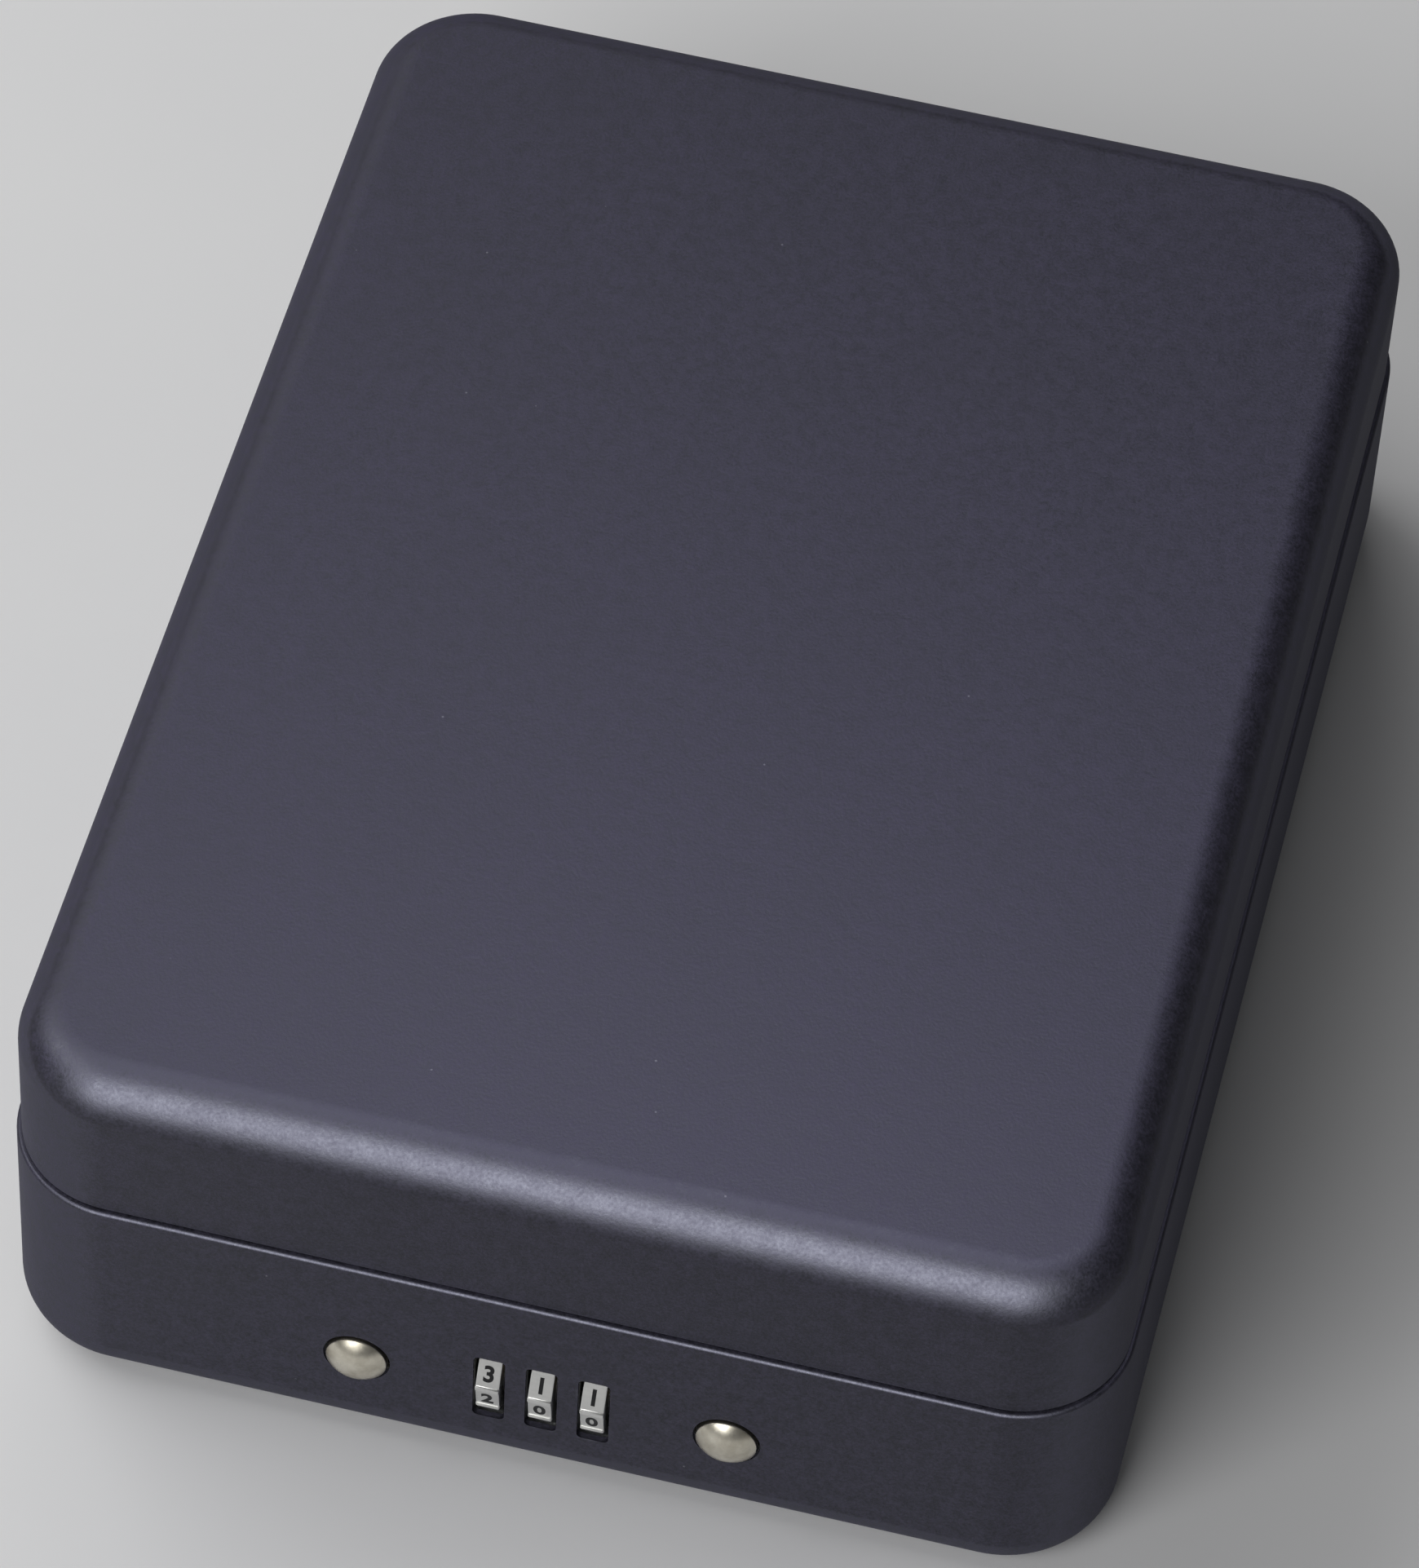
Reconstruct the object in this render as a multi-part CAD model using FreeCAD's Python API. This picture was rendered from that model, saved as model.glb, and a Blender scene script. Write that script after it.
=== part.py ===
import FreeCAD, Part
import math
import os

# Steel cash box with a rear hinge and a three-wheel dial lock in its front wall.
# Millimetres, +Z up, origin at the bottom centre. The front faces -Y.

Vector = FreeCAD.Vector

# ---------------------------------------------------------------- driving dimensions

# shells
WIDTH = 178.0
DEPTH = 242.5
HEIGHT = 73.6
SEAM_Z = 43.2
CORNER_R = 18.5
BOTTOM_FILLET = 8.0
TOP_FILLET = 7.9
SHEET = 1.2
HEM_WALL = 2.4
HEM_DEPTH = 6.0
HEM_ROUND = 0.6
LIP_ROUND = 0.4
LID_INSET = 0.8
SEAM_GAP = 0.3
LINER_WALL = 1.0
LINER_RISE = 5.5
RUN_FIT = 0.05
SCREW_FIT = 0.15

# foam
BASE_PAD_MARGIN = 9.5
BASE_PAD_R = 9.0
BASE_PAD_THICK = 3.2
LID_PAD_MARGIN = 10.5
LID_PAD_R = 8.0
LID_PAD_THICK = 6.0

# hinge
HINGE_LENGTH = 120.0
KNUCKLES = 7
KNUCKLE_R = 2.2
KNUCKLE_GAP = 0.3
PIN_R = 1.1
PIN_CHAMFER = 0.28
LEAF = 1.0
LEAF_DROP = 10.0
LEAF_SETBACK = 2.6
EAR_WIDTH = 5.7
EAR_REACH = 2.1
EAR_WALL = 1.2
EAR_TOP = 0.75
EAR_LAP = 1.0

# push-buttons
BUTTON_X = 29.7
BUTTON_Z = 20.35
BUTTON_R = 4.9
BUTTON_PROUD = 2.6
DOME_RISE = 2.2
BUTTON_HOLE_R = 5.4
NECK_R = 3.0
GROOVE_R = 2.4
CLIP_THICK = 0.6
CLIP_R = 4.4
CLIP_MOUTH = 1.8
STEM_R = 2.0
STEM_END = 16.0
SPRING_WIRE_R = 0.4
SPRING_TURNS = 4
SPRING_END_GAP = 0.05
BUTTON_SPRING_R = 3.6
LATCH_SPRING_R = 2.5

# dial wheels, sleeves and shaft
DIAL_PITCH = 8.4
DIAL_Z = 20.0
DIAL_R = 9.6
DIAL_PROUD = 1.6
DIAL_FLAT_R = 8.95
DIAL_FLAT_HALF = 2.5
DIAL_HALF_WIDTH = 1.95
FLAT_PHASE = 10.0
POSITIONS = 10
HUB_HALF = 2.1
HUB_R = 6.5
SLOT_WIDTH = 5.1
SLOT_HEIGHT = 15.3
CASE_SLOT_HEIGHT = 18.0
SLOT_ROUND = 0.8
SLEEVE_R = 3.0
SLEEVE_LEFT = 2.9
DISC_R = 5.2
DISC_SPAN = (2.4, 3.9)
GATE_HEIGHT = 3.1
GATE_FLOOR = 0.2
KEY_HALF = 0.65
KEY_R = 4.9
KEY_START = 0.9
KEY_LAP = 0.5
KEY_GAP = 0.2
RECESS_START = 0.7
SHAFT_R = 1.5
SHAFT_LEFT = -21.5
SHAFT_RIGHT = 20.4
SHAFT_GROOVE_R = 1.2
SHAFT_CLIP = 0.8
SHAFT_CLIP_R = 2.8
SHAFT_CLIP_MOUTH = 0.9
SHAFT_CLIP_GAP = 0.4
RESET_TRAVEL = 2.2
LEVER_X = 18.6
LEVER_HALF = 2.0
LEVER_END = 33.0
LEVER_NOSE = 3.0
LEVER_TAB = 6.0
LEVER_GAP = 0.6

# dial frame and detent
FRAME_HALF = 17.8
CHEEK = 1.2
CHEEK_R = 4.0
FRAME_FRONT = 3.0
FRAME_BACK = 18.6
CHEEK_BACK = 15.9
CHEEK_TOP = 30.6
FRAME_FLOOR = 0.8
SPRING_LEAF = 0.4
DETENT_GAP = 0.4
DETENT_HALF = 13.0
DETENT_FOOT = 3.0
DETENT_FINGER_HALF = 1.4
DETENT_RISE = 4.5

# lock case and its fasteners
CASE_HALF_WIDTH = 46.0
CASE_BOTTOM = 8.0
CASE_TOP = 37.0
CASE_BACK = 28.0
CASE_BEND_R = 0.8
LUG_SIZE = 4.8
LUG_DEPTH = 8.0
SCREW_IN = 3.6
SCREW_R = 1.25
SCREW_HEAD_R = 2.8
SCREW_HEAD_HEIGHT = 1.6
CROSS_REACH = 1.6
CROSS_HALF = 0.3
CROSS_FLOOR = 0.6
STUD_IN = 5.1
STUD_R = 1.45
STUD_END = 6.5
NUT_HEIGHT = 2.4
NUT_R = 3.15
SLOT_FRONT = 3.6
SLOT_BACK = 7.4
SLOT_SIDE_GAP = 0.5
BRACKET_FRONT = 12.0
BRACKET_BACK = 13.2
BRACKET_HALF = 6.8
BRACKET_TOP = 35.0
BRACKET_FOOT = 5.0
GUIDE_GAP = 0.25

# release yoke
YOKE_GAP = 0.3
YOKE_THICK = 1.2
RING_R = 6.6
ARM_NEAR_X = 18.8
ARM_FAR_X = 23.2
ARM_LOW = 24.8
ARM_SHELF = 27.9
COMB_LOW = 31.8
COMB_HIGH = 34.6
FINGER_SPAN = (2.6, 3.7)
FINGER_THICK = 1.0
FINGER_HEIGHT = 3.3

# latch and strikers
LATCH_TRAVEL = 4.0
PRESS_SLACK = 0.2
NOSE_LOW = 30.6
NOSE_HIGH = 33.6
NOSE_HALF = 3.5
NOSE_BEVEL = 2.6
BEAM_HALF = 36.0
BEAM_LOW = 28.4
BEAM_THICK = 1.5
PADDLE_LOW = 17.0
PADDLE_HALF = 4.4
PEG_R = 1.6
PEG_LENGTH = 2.4
LEG_FRONT = 4.75
LEG_BACK = 6.25
LEG_HALF = 5.5
LEG_BOTTOM = 28.6
LEG_CLEAR = 0.8
WINDOW_GAP = 0.4
STRIKER_PLATE = 1.5
SHELF_ABOVE_LINER = 2.0
FOOT_HEIGHT = 11.5
FOOT_HALF = 9.0
FOOT_R = 3.0

# ---------------------------------------------------------------- derived places

FRONT_Y = -DEPTH / 2
REAR_Y = DEPTH / 2
HINGE_Y = REAR_Y + BUTTON_PROUD - KNUCKLE_R
SIDES = {"left": -1, "right": 1}
DIAL_DEPTH = DIAL_R - DIAL_PROUD
DIAL_XS = {"left": -DIAL_PITCH, "middle": 0.0, "right": DIAL_PITCH}
CLIP_XS = [x - SLEEVE_LEFT - SHAFT_CLIP_GAP - SHAFT_CLIP for x in DIAL_XS.values()]
CLIP_XS.append(DIAL_PITCH + DISC_SPAN[1] + SHAFT_CLIP_GAP)
CASE_WEB = 2 * SHEET
CASE_FLOOR = CASE_BOTTOM + SHEET
YOKE_FRONT = CASE_WEB + YOKE_GAP
YOKE_BACK = YOKE_FRONT + YOKE_THICK
PADDLE_FRONT = STEM_END + LATCH_TRAVEL + PRESS_SLACK
PADDLE_BACK = PADDLE_FRONT + BEAM_THICK
NOSE_TIP = LEG_BACK + LEG_CLEAR
STUD_X = CASE_HALF_WIDTH - STUD_IN
SCREW_X = CASE_HALF_WIDTH - SCREW_IN
STUDS = [(x, z) for x in (-STUD_X, STUD_X) for z in (CASE_BOTTOM + STUD_IN, CASE_TOP - STUD_IN)]
COVER_SCREWS = [(x, z) for x in (-SCREW_X, SCREW_X) for z in (CASE_BOTTOM + SCREW_IN, CASE_TOP - SCREW_IN)]


# ---------------------------------------------------------------- shape helpers

def depth_y(depth):
    """Y of a point that lies this deep behind the front wall's outer face."""
    return FRONT_Y + depth


def block(x0, x1, y0, y1, z0, z1):
    """Box between two corners."""
    return Part.makeBox(x1 - x0, y1 - y0, z1 - z0, Vector(x0, y0, z0))


def lock_block(x0, x1, depth0, depth1, z0, z1):
    """Box in the lock, with its Y given as depth behind the front face."""
    return block(x0, x1, depth_y(depth0), depth_y(depth1), z0, z1)


def rod_x(radius, x0, x1, y, z):
    """Cylinder along X."""
    return Part.makeCylinder(radius, x1 - x0, Vector(x0, y, z), Vector(1, 0, 0))


def rod_y(radius, depth0, depth1, x, z):
    """Cylinder along Y, with its ends given as depth behind the front face."""
    start = Vector(x, depth_y(depth0), z)
    return Part.makeCylinder(radius, depth1 - depth0, start, Vector(0, 1, 0))


def fused(shapes):
    """One clean solid from several that touch or overlap."""
    return shapes[0].multiFuse(shapes[1:]).removeSplitter()


def cut_all(shape, tools):
    """The shape without any of the tools."""
    return shape.cut(Part.makeCompound(tools))


def edges_at_height(shape, z):
    """Edges that lie flat at one height."""
    return [e for e in shape.Edges if all(abs(v.Z - z) < 1e-4 for v in e.Vertexes)]


def edges_along(shape, axis):
    """Straight edges parallel to an axis."""
    chosen = []
    for edge in shape.Edges:
        if len(edge.Vertexes) != 2:
            continue
        run = edge.Vertexes[1].Point - edge.Vertexes[0].Point
        if run.cross(axis).Length < 1e-6 * run.Length:
            chosen.append(edge)
    return chosen


def rounded_prism(half_x, half_y, radius, z0, z1):
    """Upright prism on a rectangle with rounded corners."""
    prism = block(-half_x, half_x, -half_y, half_y, z0, z1)
    return prism.makeFillet(radius, edges_along(prism, Vector(0, 0, 1)))


def plan_prism(inset, z0, z1):
    """Prism on the box's plan, drawn in by an inset all round."""
    return rounded_prism(WIDTH / 2 - inset, DEPTH / 2 - inset, CORNER_R - inset, z0, z1)


def spring_coil(mean_r, depth0, depth1, x):
    """Coil spring along Y between two depths, on the line of a button."""
    length = depth1 - depth0 - 2 * SPRING_WIRE_R
    helix = Part.makeHelix(length / SPRING_TURNS, length, mean_r)
    circle = Part.makeCircle(SPRING_WIRE_R, Vector(mean_r, 0, 0), Vector(0, 1, 0))
    coil = helix.makePipeShell([Part.Wire(circle)], True, True)
    coil.rotate(Vector(0, 0, 0), Vector(1, 0, 0), -90)
    coil.translate(Vector(x, depth_y(depth0 + SPRING_WIRE_R), BUTTON_Z))
    return coil


def revolved_y(profile, x, z):
    """Turned part on an axis along Y, from (radius, depth) corners."""
    points = [Vector(x + radius, depth_y(depth), z) for radius, depth in profile]
    face = Part.Face(Part.makePolygon(points + points[:1]))
    return face.revolve(Vector(x, 0, z), Vector(0, 1, 0), 360)


# ---------------------------------------------------------------- box shells

def dial_slots(depth0, depth1, height):
    """The three upright slots that the wheels look out of."""
    slots = []
    half_w = SLOT_WIDTH / 2
    half_h = height / 2
    for x in DIAL_XS.values():
        slot = lock_block(x - half_w, x + half_w, depth0, depth1, DIAL_Z - half_h, DIAL_Z + half_h)
        slots.append(slot.makeFillet(SLOT_ROUND, edges_along(slot, Vector(0, 1, 0))))
    return slots


def button_holes(depth0, depth1):
    """The two round clearance holes for the push-buttons."""
    return [rod_y(BUTTON_HOLE_R, depth0, depth1, side * BUTTON_X, BUTTON_Z) for side in SIDES.values()]


def base_shell():
    """Drawn tray with a hemmed rim, holes for the lock and a notch for the hinge."""
    outer = plan_prism(0, 0, SEAM_Z)
    outer = outer.makeFillet(BOTTOM_FILLET, edges_at_height(outer, 0))
    outer = outer.makeFillet(HEM_ROUND, edges_at_height(outer, SEAM_Z))
    hollow = plan_prism(SHEET, SHEET, SEAM_Z - HEM_DEPTH)
    hollow = hollow.makeFillet(BOTTOM_FILLET - SHEET, edges_at_height(hollow, SHEET))
    mouth = plan_prism(HEM_WALL, SEAM_Z - 2 * HEM_DEPTH, SEAM_Z + 1)
    notch_half = HINGE_LENGTH / 2 + EAR_WIDTH + 2 * KNUCKLE_GAP
    notch = block(-notch_half, notch_half, REAR_Y - 2 * HEM_WALL, REAR_Y + 1,
                  SEAM_Z - KNUCKLE_R, SEAM_Z + 1)
    slots = dial_slots(-1, 2 * SHEET, SLOT_HEIGHT)
    return cut_all(outer, [hollow, mouth, notch] + button_holes(-1, 2 * SHEET) + slots)


def lid_shell():
    """Drawn lid that closes on the hemmed rim, with a notch for the hinge."""
    skirt_z = SEAM_Z + SEAM_GAP
    outer = plan_prism(LID_INSET, skirt_z, HEIGHT)
    outer = outer.makeFillet(TOP_FILLET, edges_at_height(outer, HEIGHT))
    outer = outer.makeFillet(LIP_ROUND, edges_at_height(outer, skirt_z))
    hollow = plan_prism(LID_INSET + SHEET, SEAM_Z - 1, HEIGHT - SHEET)
    hollow = hollow.makeFillet(TOP_FILLET - SHEET, edges_at_height(hollow, HEIGHT - SHEET))
    notch_half = HINGE_LENGTH / 2 + KNUCKLE_GAP
    notch = block(-notch_half, notch_half, REAR_Y - 2 * HEM_WALL, REAR_Y + 1,
                  SEAM_Z - 1, SEAM_Z + KNUCKLE_R)
    return cut_all(outer, [hollow, notch])


def rim_liner():
    """Frame inside the rim that rises into the lid, open behind where the hinge leaves are."""
    low = SEAM_Z - HEM_DEPTH
    high = SEAM_Z + LINER_RISE
    frame = plan_prism(HEM_WALL, low, high).cut(plan_prism(HEM_WALL + LINER_WALL, low - 1, high + 1))
    gap_half = HINGE_LENGTH / 2 + 2 * EAR_WIDTH
    return frame.cut(block(-gap_half, gap_half, 0, REAR_Y, low - 1, high + 1))


def foam_pad(margin, corner_r, z0, thickness):
    """Flat pad with rounded corners, glued to the floor or under the lid."""
    return rounded_prism(WIDTH / 2 - margin, DEPTH / 2 - margin, corner_r, z0, z0 + thickness)


# ---------------------------------------------------------------- hinge

def knuckle_spans(first):
    """X spans of every second knuckle."""
    pitch = HINGE_LENGTH / KNUCKLES
    spans = []
    for index in range(first, KNUCKLES, 2):
        low = -HINGE_LENGTH / 2 + index * pitch
        spans.append((low + KNUCKLE_GAP / 2, low + pitch - KNUCKLE_GAP / 2))
    return spans


def hinge_leaf(plate_front, plate_end_z, first, up):
    """Leaf plate inside the rear wall, with a web out to each of its knuckles."""
    web_near = HINGE_LENGTH / 2
    z_near = SEAM_Z + up * (KNUCKLE_R - LEAF)
    z_far = SEAM_Z + up * KNUCKLE_R
    web_low = min(z_near, z_far)
    web_high = max(z_near, z_far)
    plate_low = min(z_near, plate_end_z)
    plate_high = max(z_near, plate_end_z)
    plate_back = plate_front + LEAF
    solids = [block(-web_near, web_near, plate_front, plate_back, plate_low, plate_high)]
    solids.append(block(-web_near, web_near, plate_front, HINGE_Y - LEAF_SETBACK, web_low, web_high))
    for low, high in knuckle_spans(first):
        solids.append(block(low, high, plate_front, HINGE_Y, web_low, web_high))
        solids.append(rod_x(KNUCKLE_R, low, high, HINGE_Y, SEAM_Z))
    bore = rod_x(PIN_R + RUN_FIT, -HINGE_LENGTH, HINGE_LENGTH, HINGE_Y, SEAM_Z)
    return fused(solids).cut(bore)


def hinge_leaf_base():
    """Fixed leaf, with an ear at each end that stops the open lid."""
    plate_front = REAR_Y - HEM_WALL - LEAF
    leaf = hinge_leaf(plate_front, SEAM_Z - LEAF_DROP, 0, -1)
    solids = [leaf]
    low_z = SEAM_Z - KNUCKLE_R
    for side in SIDES.values():
        near = side * (HINGE_LENGTH / 2 - EAR_LAP)
        far = side * (HINGE_LENGTH / 2 + KNUCKLE_GAP + EAR_WIDTH)
        inner = side * (HINGE_LENGTH / 2 + KNUCKLE_GAP)
        plate = sorted((near, far))
        ear = sorted((inner, far))
        solids.append(block(plate[0], plate[1], plate_front, plate_front + LEAF,
                            SEAM_Z - LEAF_DROP, low_z + LEAF))
        solids.append(block(ear[0], ear[1], plate_front, HINGE_Y + EAR_REACH, low_z, low_z + LEAF))
        solids.append(block(ear[0], ear[1], HINGE_Y + EAR_REACH - EAR_WALL, HINGE_Y + EAR_REACH,
                            low_z, SEAM_Z + EAR_TOP))
    return fused(solids)


def hinge_leaf_lid():
    """Moving leaf, welded inside the lid's rear wall."""
    plate_front = REAR_Y - LID_INSET - SHEET - LEAF
    return hinge_leaf(plate_front, SEAM_Z + LEAF_DROP, 1, 1)


def hinge_pin():
    """Plain pin through all the knuckles."""
    half = HINGE_LENGTH / 2 + KNUCKLE_GAP / 2
    pin = rod_x(PIN_R, -half, half, HINGE_Y, SEAM_Z)
    ends = [edge for edge in pin.Edges if len(edge.Vertexes) == 1]
    return pin.makeChamfer(PIN_CHAMFER, ends)


# ---------------------------------------------------------------- lock case and its fasteners

def lock_case():
    """Folded case behind the front wall, open at its back, with threaded corner lugs."""
    half = CASE_HALF_WIDTH
    outer = lock_block(-half, half, SHEET, CASE_BACK, CASE_BOTTOM, CASE_TOP)
    outer = outer.makeFillet(SHEET + CASE_BEND_R, edges_along(outer, Vector(0, 1, 0)))
    room = lock_block(-half + SHEET, half - SHEET, CASE_WEB, CASE_BACK + 1, CASE_FLOOR, CASE_TOP - SHEET)
    room = room.makeFillet(CASE_BEND_R, edges_along(room, Vector(0, 1, 0)))
    solids = [outer.cut(room)]
    for x, z in COVER_SCREWS:
        x_edge = math.copysign(half - SHEET / 2, x)
        z_edge = CASE_TOP - SHEET / 2 if z > DIAL_Z else CASE_BOTTOM + SHEET / 2
        x0, x1 = sorted((x_edge, x_edge - math.copysign(LUG_SIZE, x)))
        z0, z1 = sorted((z_edge, z_edge - math.copysign(LUG_SIZE, z - DIAL_Z)))
        solids.append(lock_block(x0, x1, CASE_BACK - LUG_DEPTH, CASE_BACK, z0, z1))
    tools = button_holes(0, 2 * CASE_WEB) + dial_slots(0, 2 * CASE_WEB, CASE_SLOT_HEIGHT)
    for x, z in COVER_SCREWS:
        tools.append(rod_y(SCREW_R + RUN_FIT, CASE_BACK - LUG_DEPTH - 1, CASE_BACK + 1, x, z))
    for x, z in STUDS:
        tools.append(rod_y(STUD_R + SCREW_FIT, 0, 2 * CASE_WEB, x, z))
    for side in SIDES.values():
        x = side * BUTTON_X
        half_slot = LEG_HALF + SLOT_SIDE_GAP
        tools.append(lock_block(x - half_slot, x + half_slot, SLOT_FRONT, SLOT_BACK,
                                CASE_TOP - 2 * SHEET, CASE_TOP + 1))
    return cut_all(fused(solids), tools)


def lock_cover_plate():
    """Plate that closes the back of the lock case, with a slot for the reset lever."""
    half = CASE_HALF_WIDTH
    plate = lock_block(-half, half, CASE_BACK, CASE_BACK + SHEET, CASE_BOTTOM, CASE_TOP)
    plate = plate.makeFillet(SHEET + CASE_BEND_R, edges_along(plate, Vector(0, 1, 0)))
    back = CASE_BACK + 2 * SHEET
    tools = [rod_y(SCREW_R + SCREW_FIT, CASE_BACK - 1, back, x, z) for x, z in COVER_SCREWS]
    slot = lock_block(LEVER_X - LEVER_GAP, LEVER_X + SHEET + RESET_TRAVEL + LEVER_GAP, CASE_BACK - 1, back,
                      DIAL_Z - LEVER_HALF - LEVER_GAP, DIAL_Z + LEVER_HALF + LEVER_GAP)
    tools.append(slot.makeFillet(SLOT_ROUND, edges_along(slot, Vector(0, 1, 0))))
    return cut_all(plate, tools)


def cover_screws():
    """Four pan-head screws with cross recesses."""
    screws = []
    head = CASE_BACK + SHEET
    for x, z in COVER_SCREWS:
        shank = rod_y(SCREW_R, CASE_BACK - LUG_DEPTH + 1, head, x, z)
        cap = rod_y(SCREW_HEAD_R, head, head + SCREW_HEAD_HEIGHT, x, z)
        rim = [e for e in cap.Edges if abs(e.BoundBox.YMin - depth_y(head + SCREW_HEAD_HEIGHT)) < 1e-4]
        cap = cap.makeFillet(SCREW_HEAD_HEIGHT / 2, rim)
        cross_end = head + SCREW_HEAD_HEIGHT + 1
        cross = []
        for half_x, half_z in ((CROSS_REACH, CROSS_HALF), (CROSS_HALF, CROSS_REACH)):
            cross.append(lock_block(x - half_x, x + half_x, head + CROSS_FLOOR, cross_end,
                                    z - half_z, z + half_z))
        screws.append(cut_all(fused([shank, cap]), cross))
    return Part.makeCompound(screws)


def case_studs():
    """Four studs welded behind the front wall."""
    return Part.makeCompound([rod_y(STUD_R, SHEET, STUD_END, x, z) for x, z in STUDS])


def case_nuts():
    """Four hexagon nuts that hold the case on the studs."""
    nuts = []
    for x, z in STUDS:
        corners = []
        for index in range(6):
            angle = math.radians(60 * index)
            corner_x = x + NUT_R * math.cos(angle)
            corners.append(Vector(corner_x, depth_y(CASE_WEB), z + NUT_R * math.sin(angle)))
        face = Part.Face(Part.makePolygon(corners + corners[:1]))
        nut = face.extrude(Vector(0, NUT_HEIGHT, 0))
        nuts.append(nut.cut(rod_y(STUD_R + RUN_FIT, 0, STUD_END + 1, x, z)))
    return Part.makeCompound(nuts)


def guide_bracket(side):
    """Upright plate that guides a button's stem and a latch nose, and seats the button's spring."""
    x = side * BUTTON_X
    x0 = x - BRACKET_HALF
    x1 = x + BRACKET_HALF
    plate = lock_block(x0, x1, BRACKET_FRONT, BRACKET_BACK, CASE_FLOOR, BRACKET_TOP)
    foot = lock_block(x0, x1, BRACKET_FRONT, BRACKET_BACK + BRACKET_FOOT, CASE_FLOOR, CASE_FLOOR + SHEET)
    window = lock_block(x - NOSE_HALF - GUIDE_GAP, x + NOSE_HALF + GUIDE_GAP, 0, CASE_BACK,
                        NOSE_LOW - GUIDE_GAP, NOSE_HIGH + GUIDE_GAP)
    stem_hole = rod_y(STEM_R + 2 * RUN_FIT, 0, CASE_BACK, x, BUTTON_Z)
    return cut_all(fused([plate, foot]), [window, stem_hole])


# ---------------------------------------------------------------- release: buttons and yoke

def button(side):
    """Domed push-button with a neck for the yoke, a clip groove and a long stem."""
    dome_base = DOME_RISE - BUTTON_PROUD
    groove = YOKE_BACK
    profile = [
        (0, dome_base), (BUTTON_R, dome_base), (BUTTON_R, YOKE_FRONT), (NECK_R, YOKE_FRONT),
        (NECK_R, groove), (GROOVE_R, groove), (GROOVE_R, groove + CLIP_THICK + 0.1),
        (NECK_R, groove + CLIP_THICK + 0.1), (NECK_R, groove + 2 * CLIP_THICK),
        (STEM_R, groove + 2 * CLIP_THICK), (STEM_R, STEM_END), (0, STEM_END),
    ]
    x = side * BUTTON_X
    turned = revolved_y(profile, x, BUTTON_Z)
    sphere_r = (BUTTON_R ** 2 + DOME_RISE ** 2) / (2 * DOME_RISE)
    ball = Part.makeSphere(sphere_r, Vector(x, depth_y(-BUTTON_PROUD + sphere_r), BUTTON_Z))
    dome = ball.common(rod_y(BUTTON_R, -BUTTON_PROUD - 1, dome_base, x, BUTTON_Z))
    return fused([turned, dome])


def button_clips():
    """Two open clips that hold the buttons in the yoke."""
    clips = []
    for side in SIDES.values():
        x = side * BUTTON_X
        front = YOKE_BACK + RUN_FIT
        ring = rod_y(CLIP_R, front, front + CLIP_THICK, x, BUTTON_Z)
        mouth = lock_block(x - CLIP_MOUTH, x + CLIP_MOUTH, 0, CASE_BACK, BUTTON_Z - 2 * CLIP_R, BUTTON_Z)
        clips.append(cut_all(ring, [rod_y(GROOVE_R, 0, CASE_BACK, x, BUTTON_Z), mouth]))
    return Part.makeCompound(clips)


def release_yoke():
    """Plate that joins both buttons, with a comb of three fence fingers over the code discs."""
    solids = []
    tools = []
    for side in SIDES.values():
        x = side * BUTTON_X
        solids.append(rod_y(RING_R, YOKE_FRONT, YOKE_BACK, x, BUTTON_Z))
        shelf = sorted((side * ARM_NEAR_X, x))
        arm = sorted((side * ARM_NEAR_X, side * ARM_FAR_X))
        solids.append(lock_block(shelf[0], shelf[1], YOKE_FRONT, YOKE_BACK, ARM_LOW, ARM_SHELF))
        solids.append(lock_block(arm[0], arm[1], YOKE_FRONT, YOKE_BACK, ARM_LOW, COMB_HIGH))
        tools.append(rod_y(NECK_R, 0, CASE_BACK, x, BUTTON_Z))
    solids.append(lock_block(-ARM_FAR_X, ARM_FAR_X, YOKE_FRONT, YOKE_BACK, COMB_LOW, COMB_HIGH))
    for x in DIAL_XS.values():
        near, far = FINGER_SPAN
        solids.append(lock_block(x + near, x + far, YOKE_FRONT, YOKE_FRONT + FINGER_THICK,
                                 DIAL_Z + FINGER_HEIGHT, COMB_LOW + 1))
    return cut_all(fused(solids), tools)


def button_spring(side):
    """Return spring between the button's clip and the guide bracket."""
    start = YOKE_BACK + RUN_FIT + CLIP_THICK + SPRING_END_GAP
    return spring_coil(BUTTON_SPRING_R, start, BRACKET_FRONT - SPRING_END_GAP, side * BUTTON_X)


# ---------------------------------------------------------------- latch and strikers

def latch_bar():
    """Sliding bar with two bevelled noses, and two paddles that the button stems push."""
    solids = [lock_block(-BEAM_HALF, BEAM_HALF, PADDLE_FRONT, PADDLE_BACK, BEAM_LOW, NOSE_HIGH)]
    bevels = []
    for side in SIDES.values():
        x = side * BUTTON_X
        solids.append(lock_block(x - NOSE_HALF, x + NOSE_HALF, NOSE_TIP, PADDLE_BACK, NOSE_LOW, NOSE_HIGH))
        solids.append(lock_block(x - PADDLE_HALF, x + PADDLE_HALF, PADDLE_FRONT, PADDLE_BACK,
                                 PADDLE_LOW, NOSE_HIGH))
        solids.append(rod_y(PEG_R, PADDLE_BACK, PADDLE_BACK + PEG_LENGTH, x, BUTTON_Z))
        wedge = [(NOSE_TIP - 1, NOSE_HIGH - NOSE_BEVEL), (NOSE_TIP + NOSE_BEVEL, NOSE_HIGH + 1),
                 (NOSE_TIP - 1, NOSE_HIGH + 1)]
        points = [Vector(x - BRACKET_HALF, depth_y(depth), z) for depth, z in wedge]
        face = Part.Face(Part.makePolygon(points + points[:1]))
        bevels.append(face.extrude(Vector(2 * BRACKET_HALF, 0, 0)))
    return cut_all(fused(solids), bevels)


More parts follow.
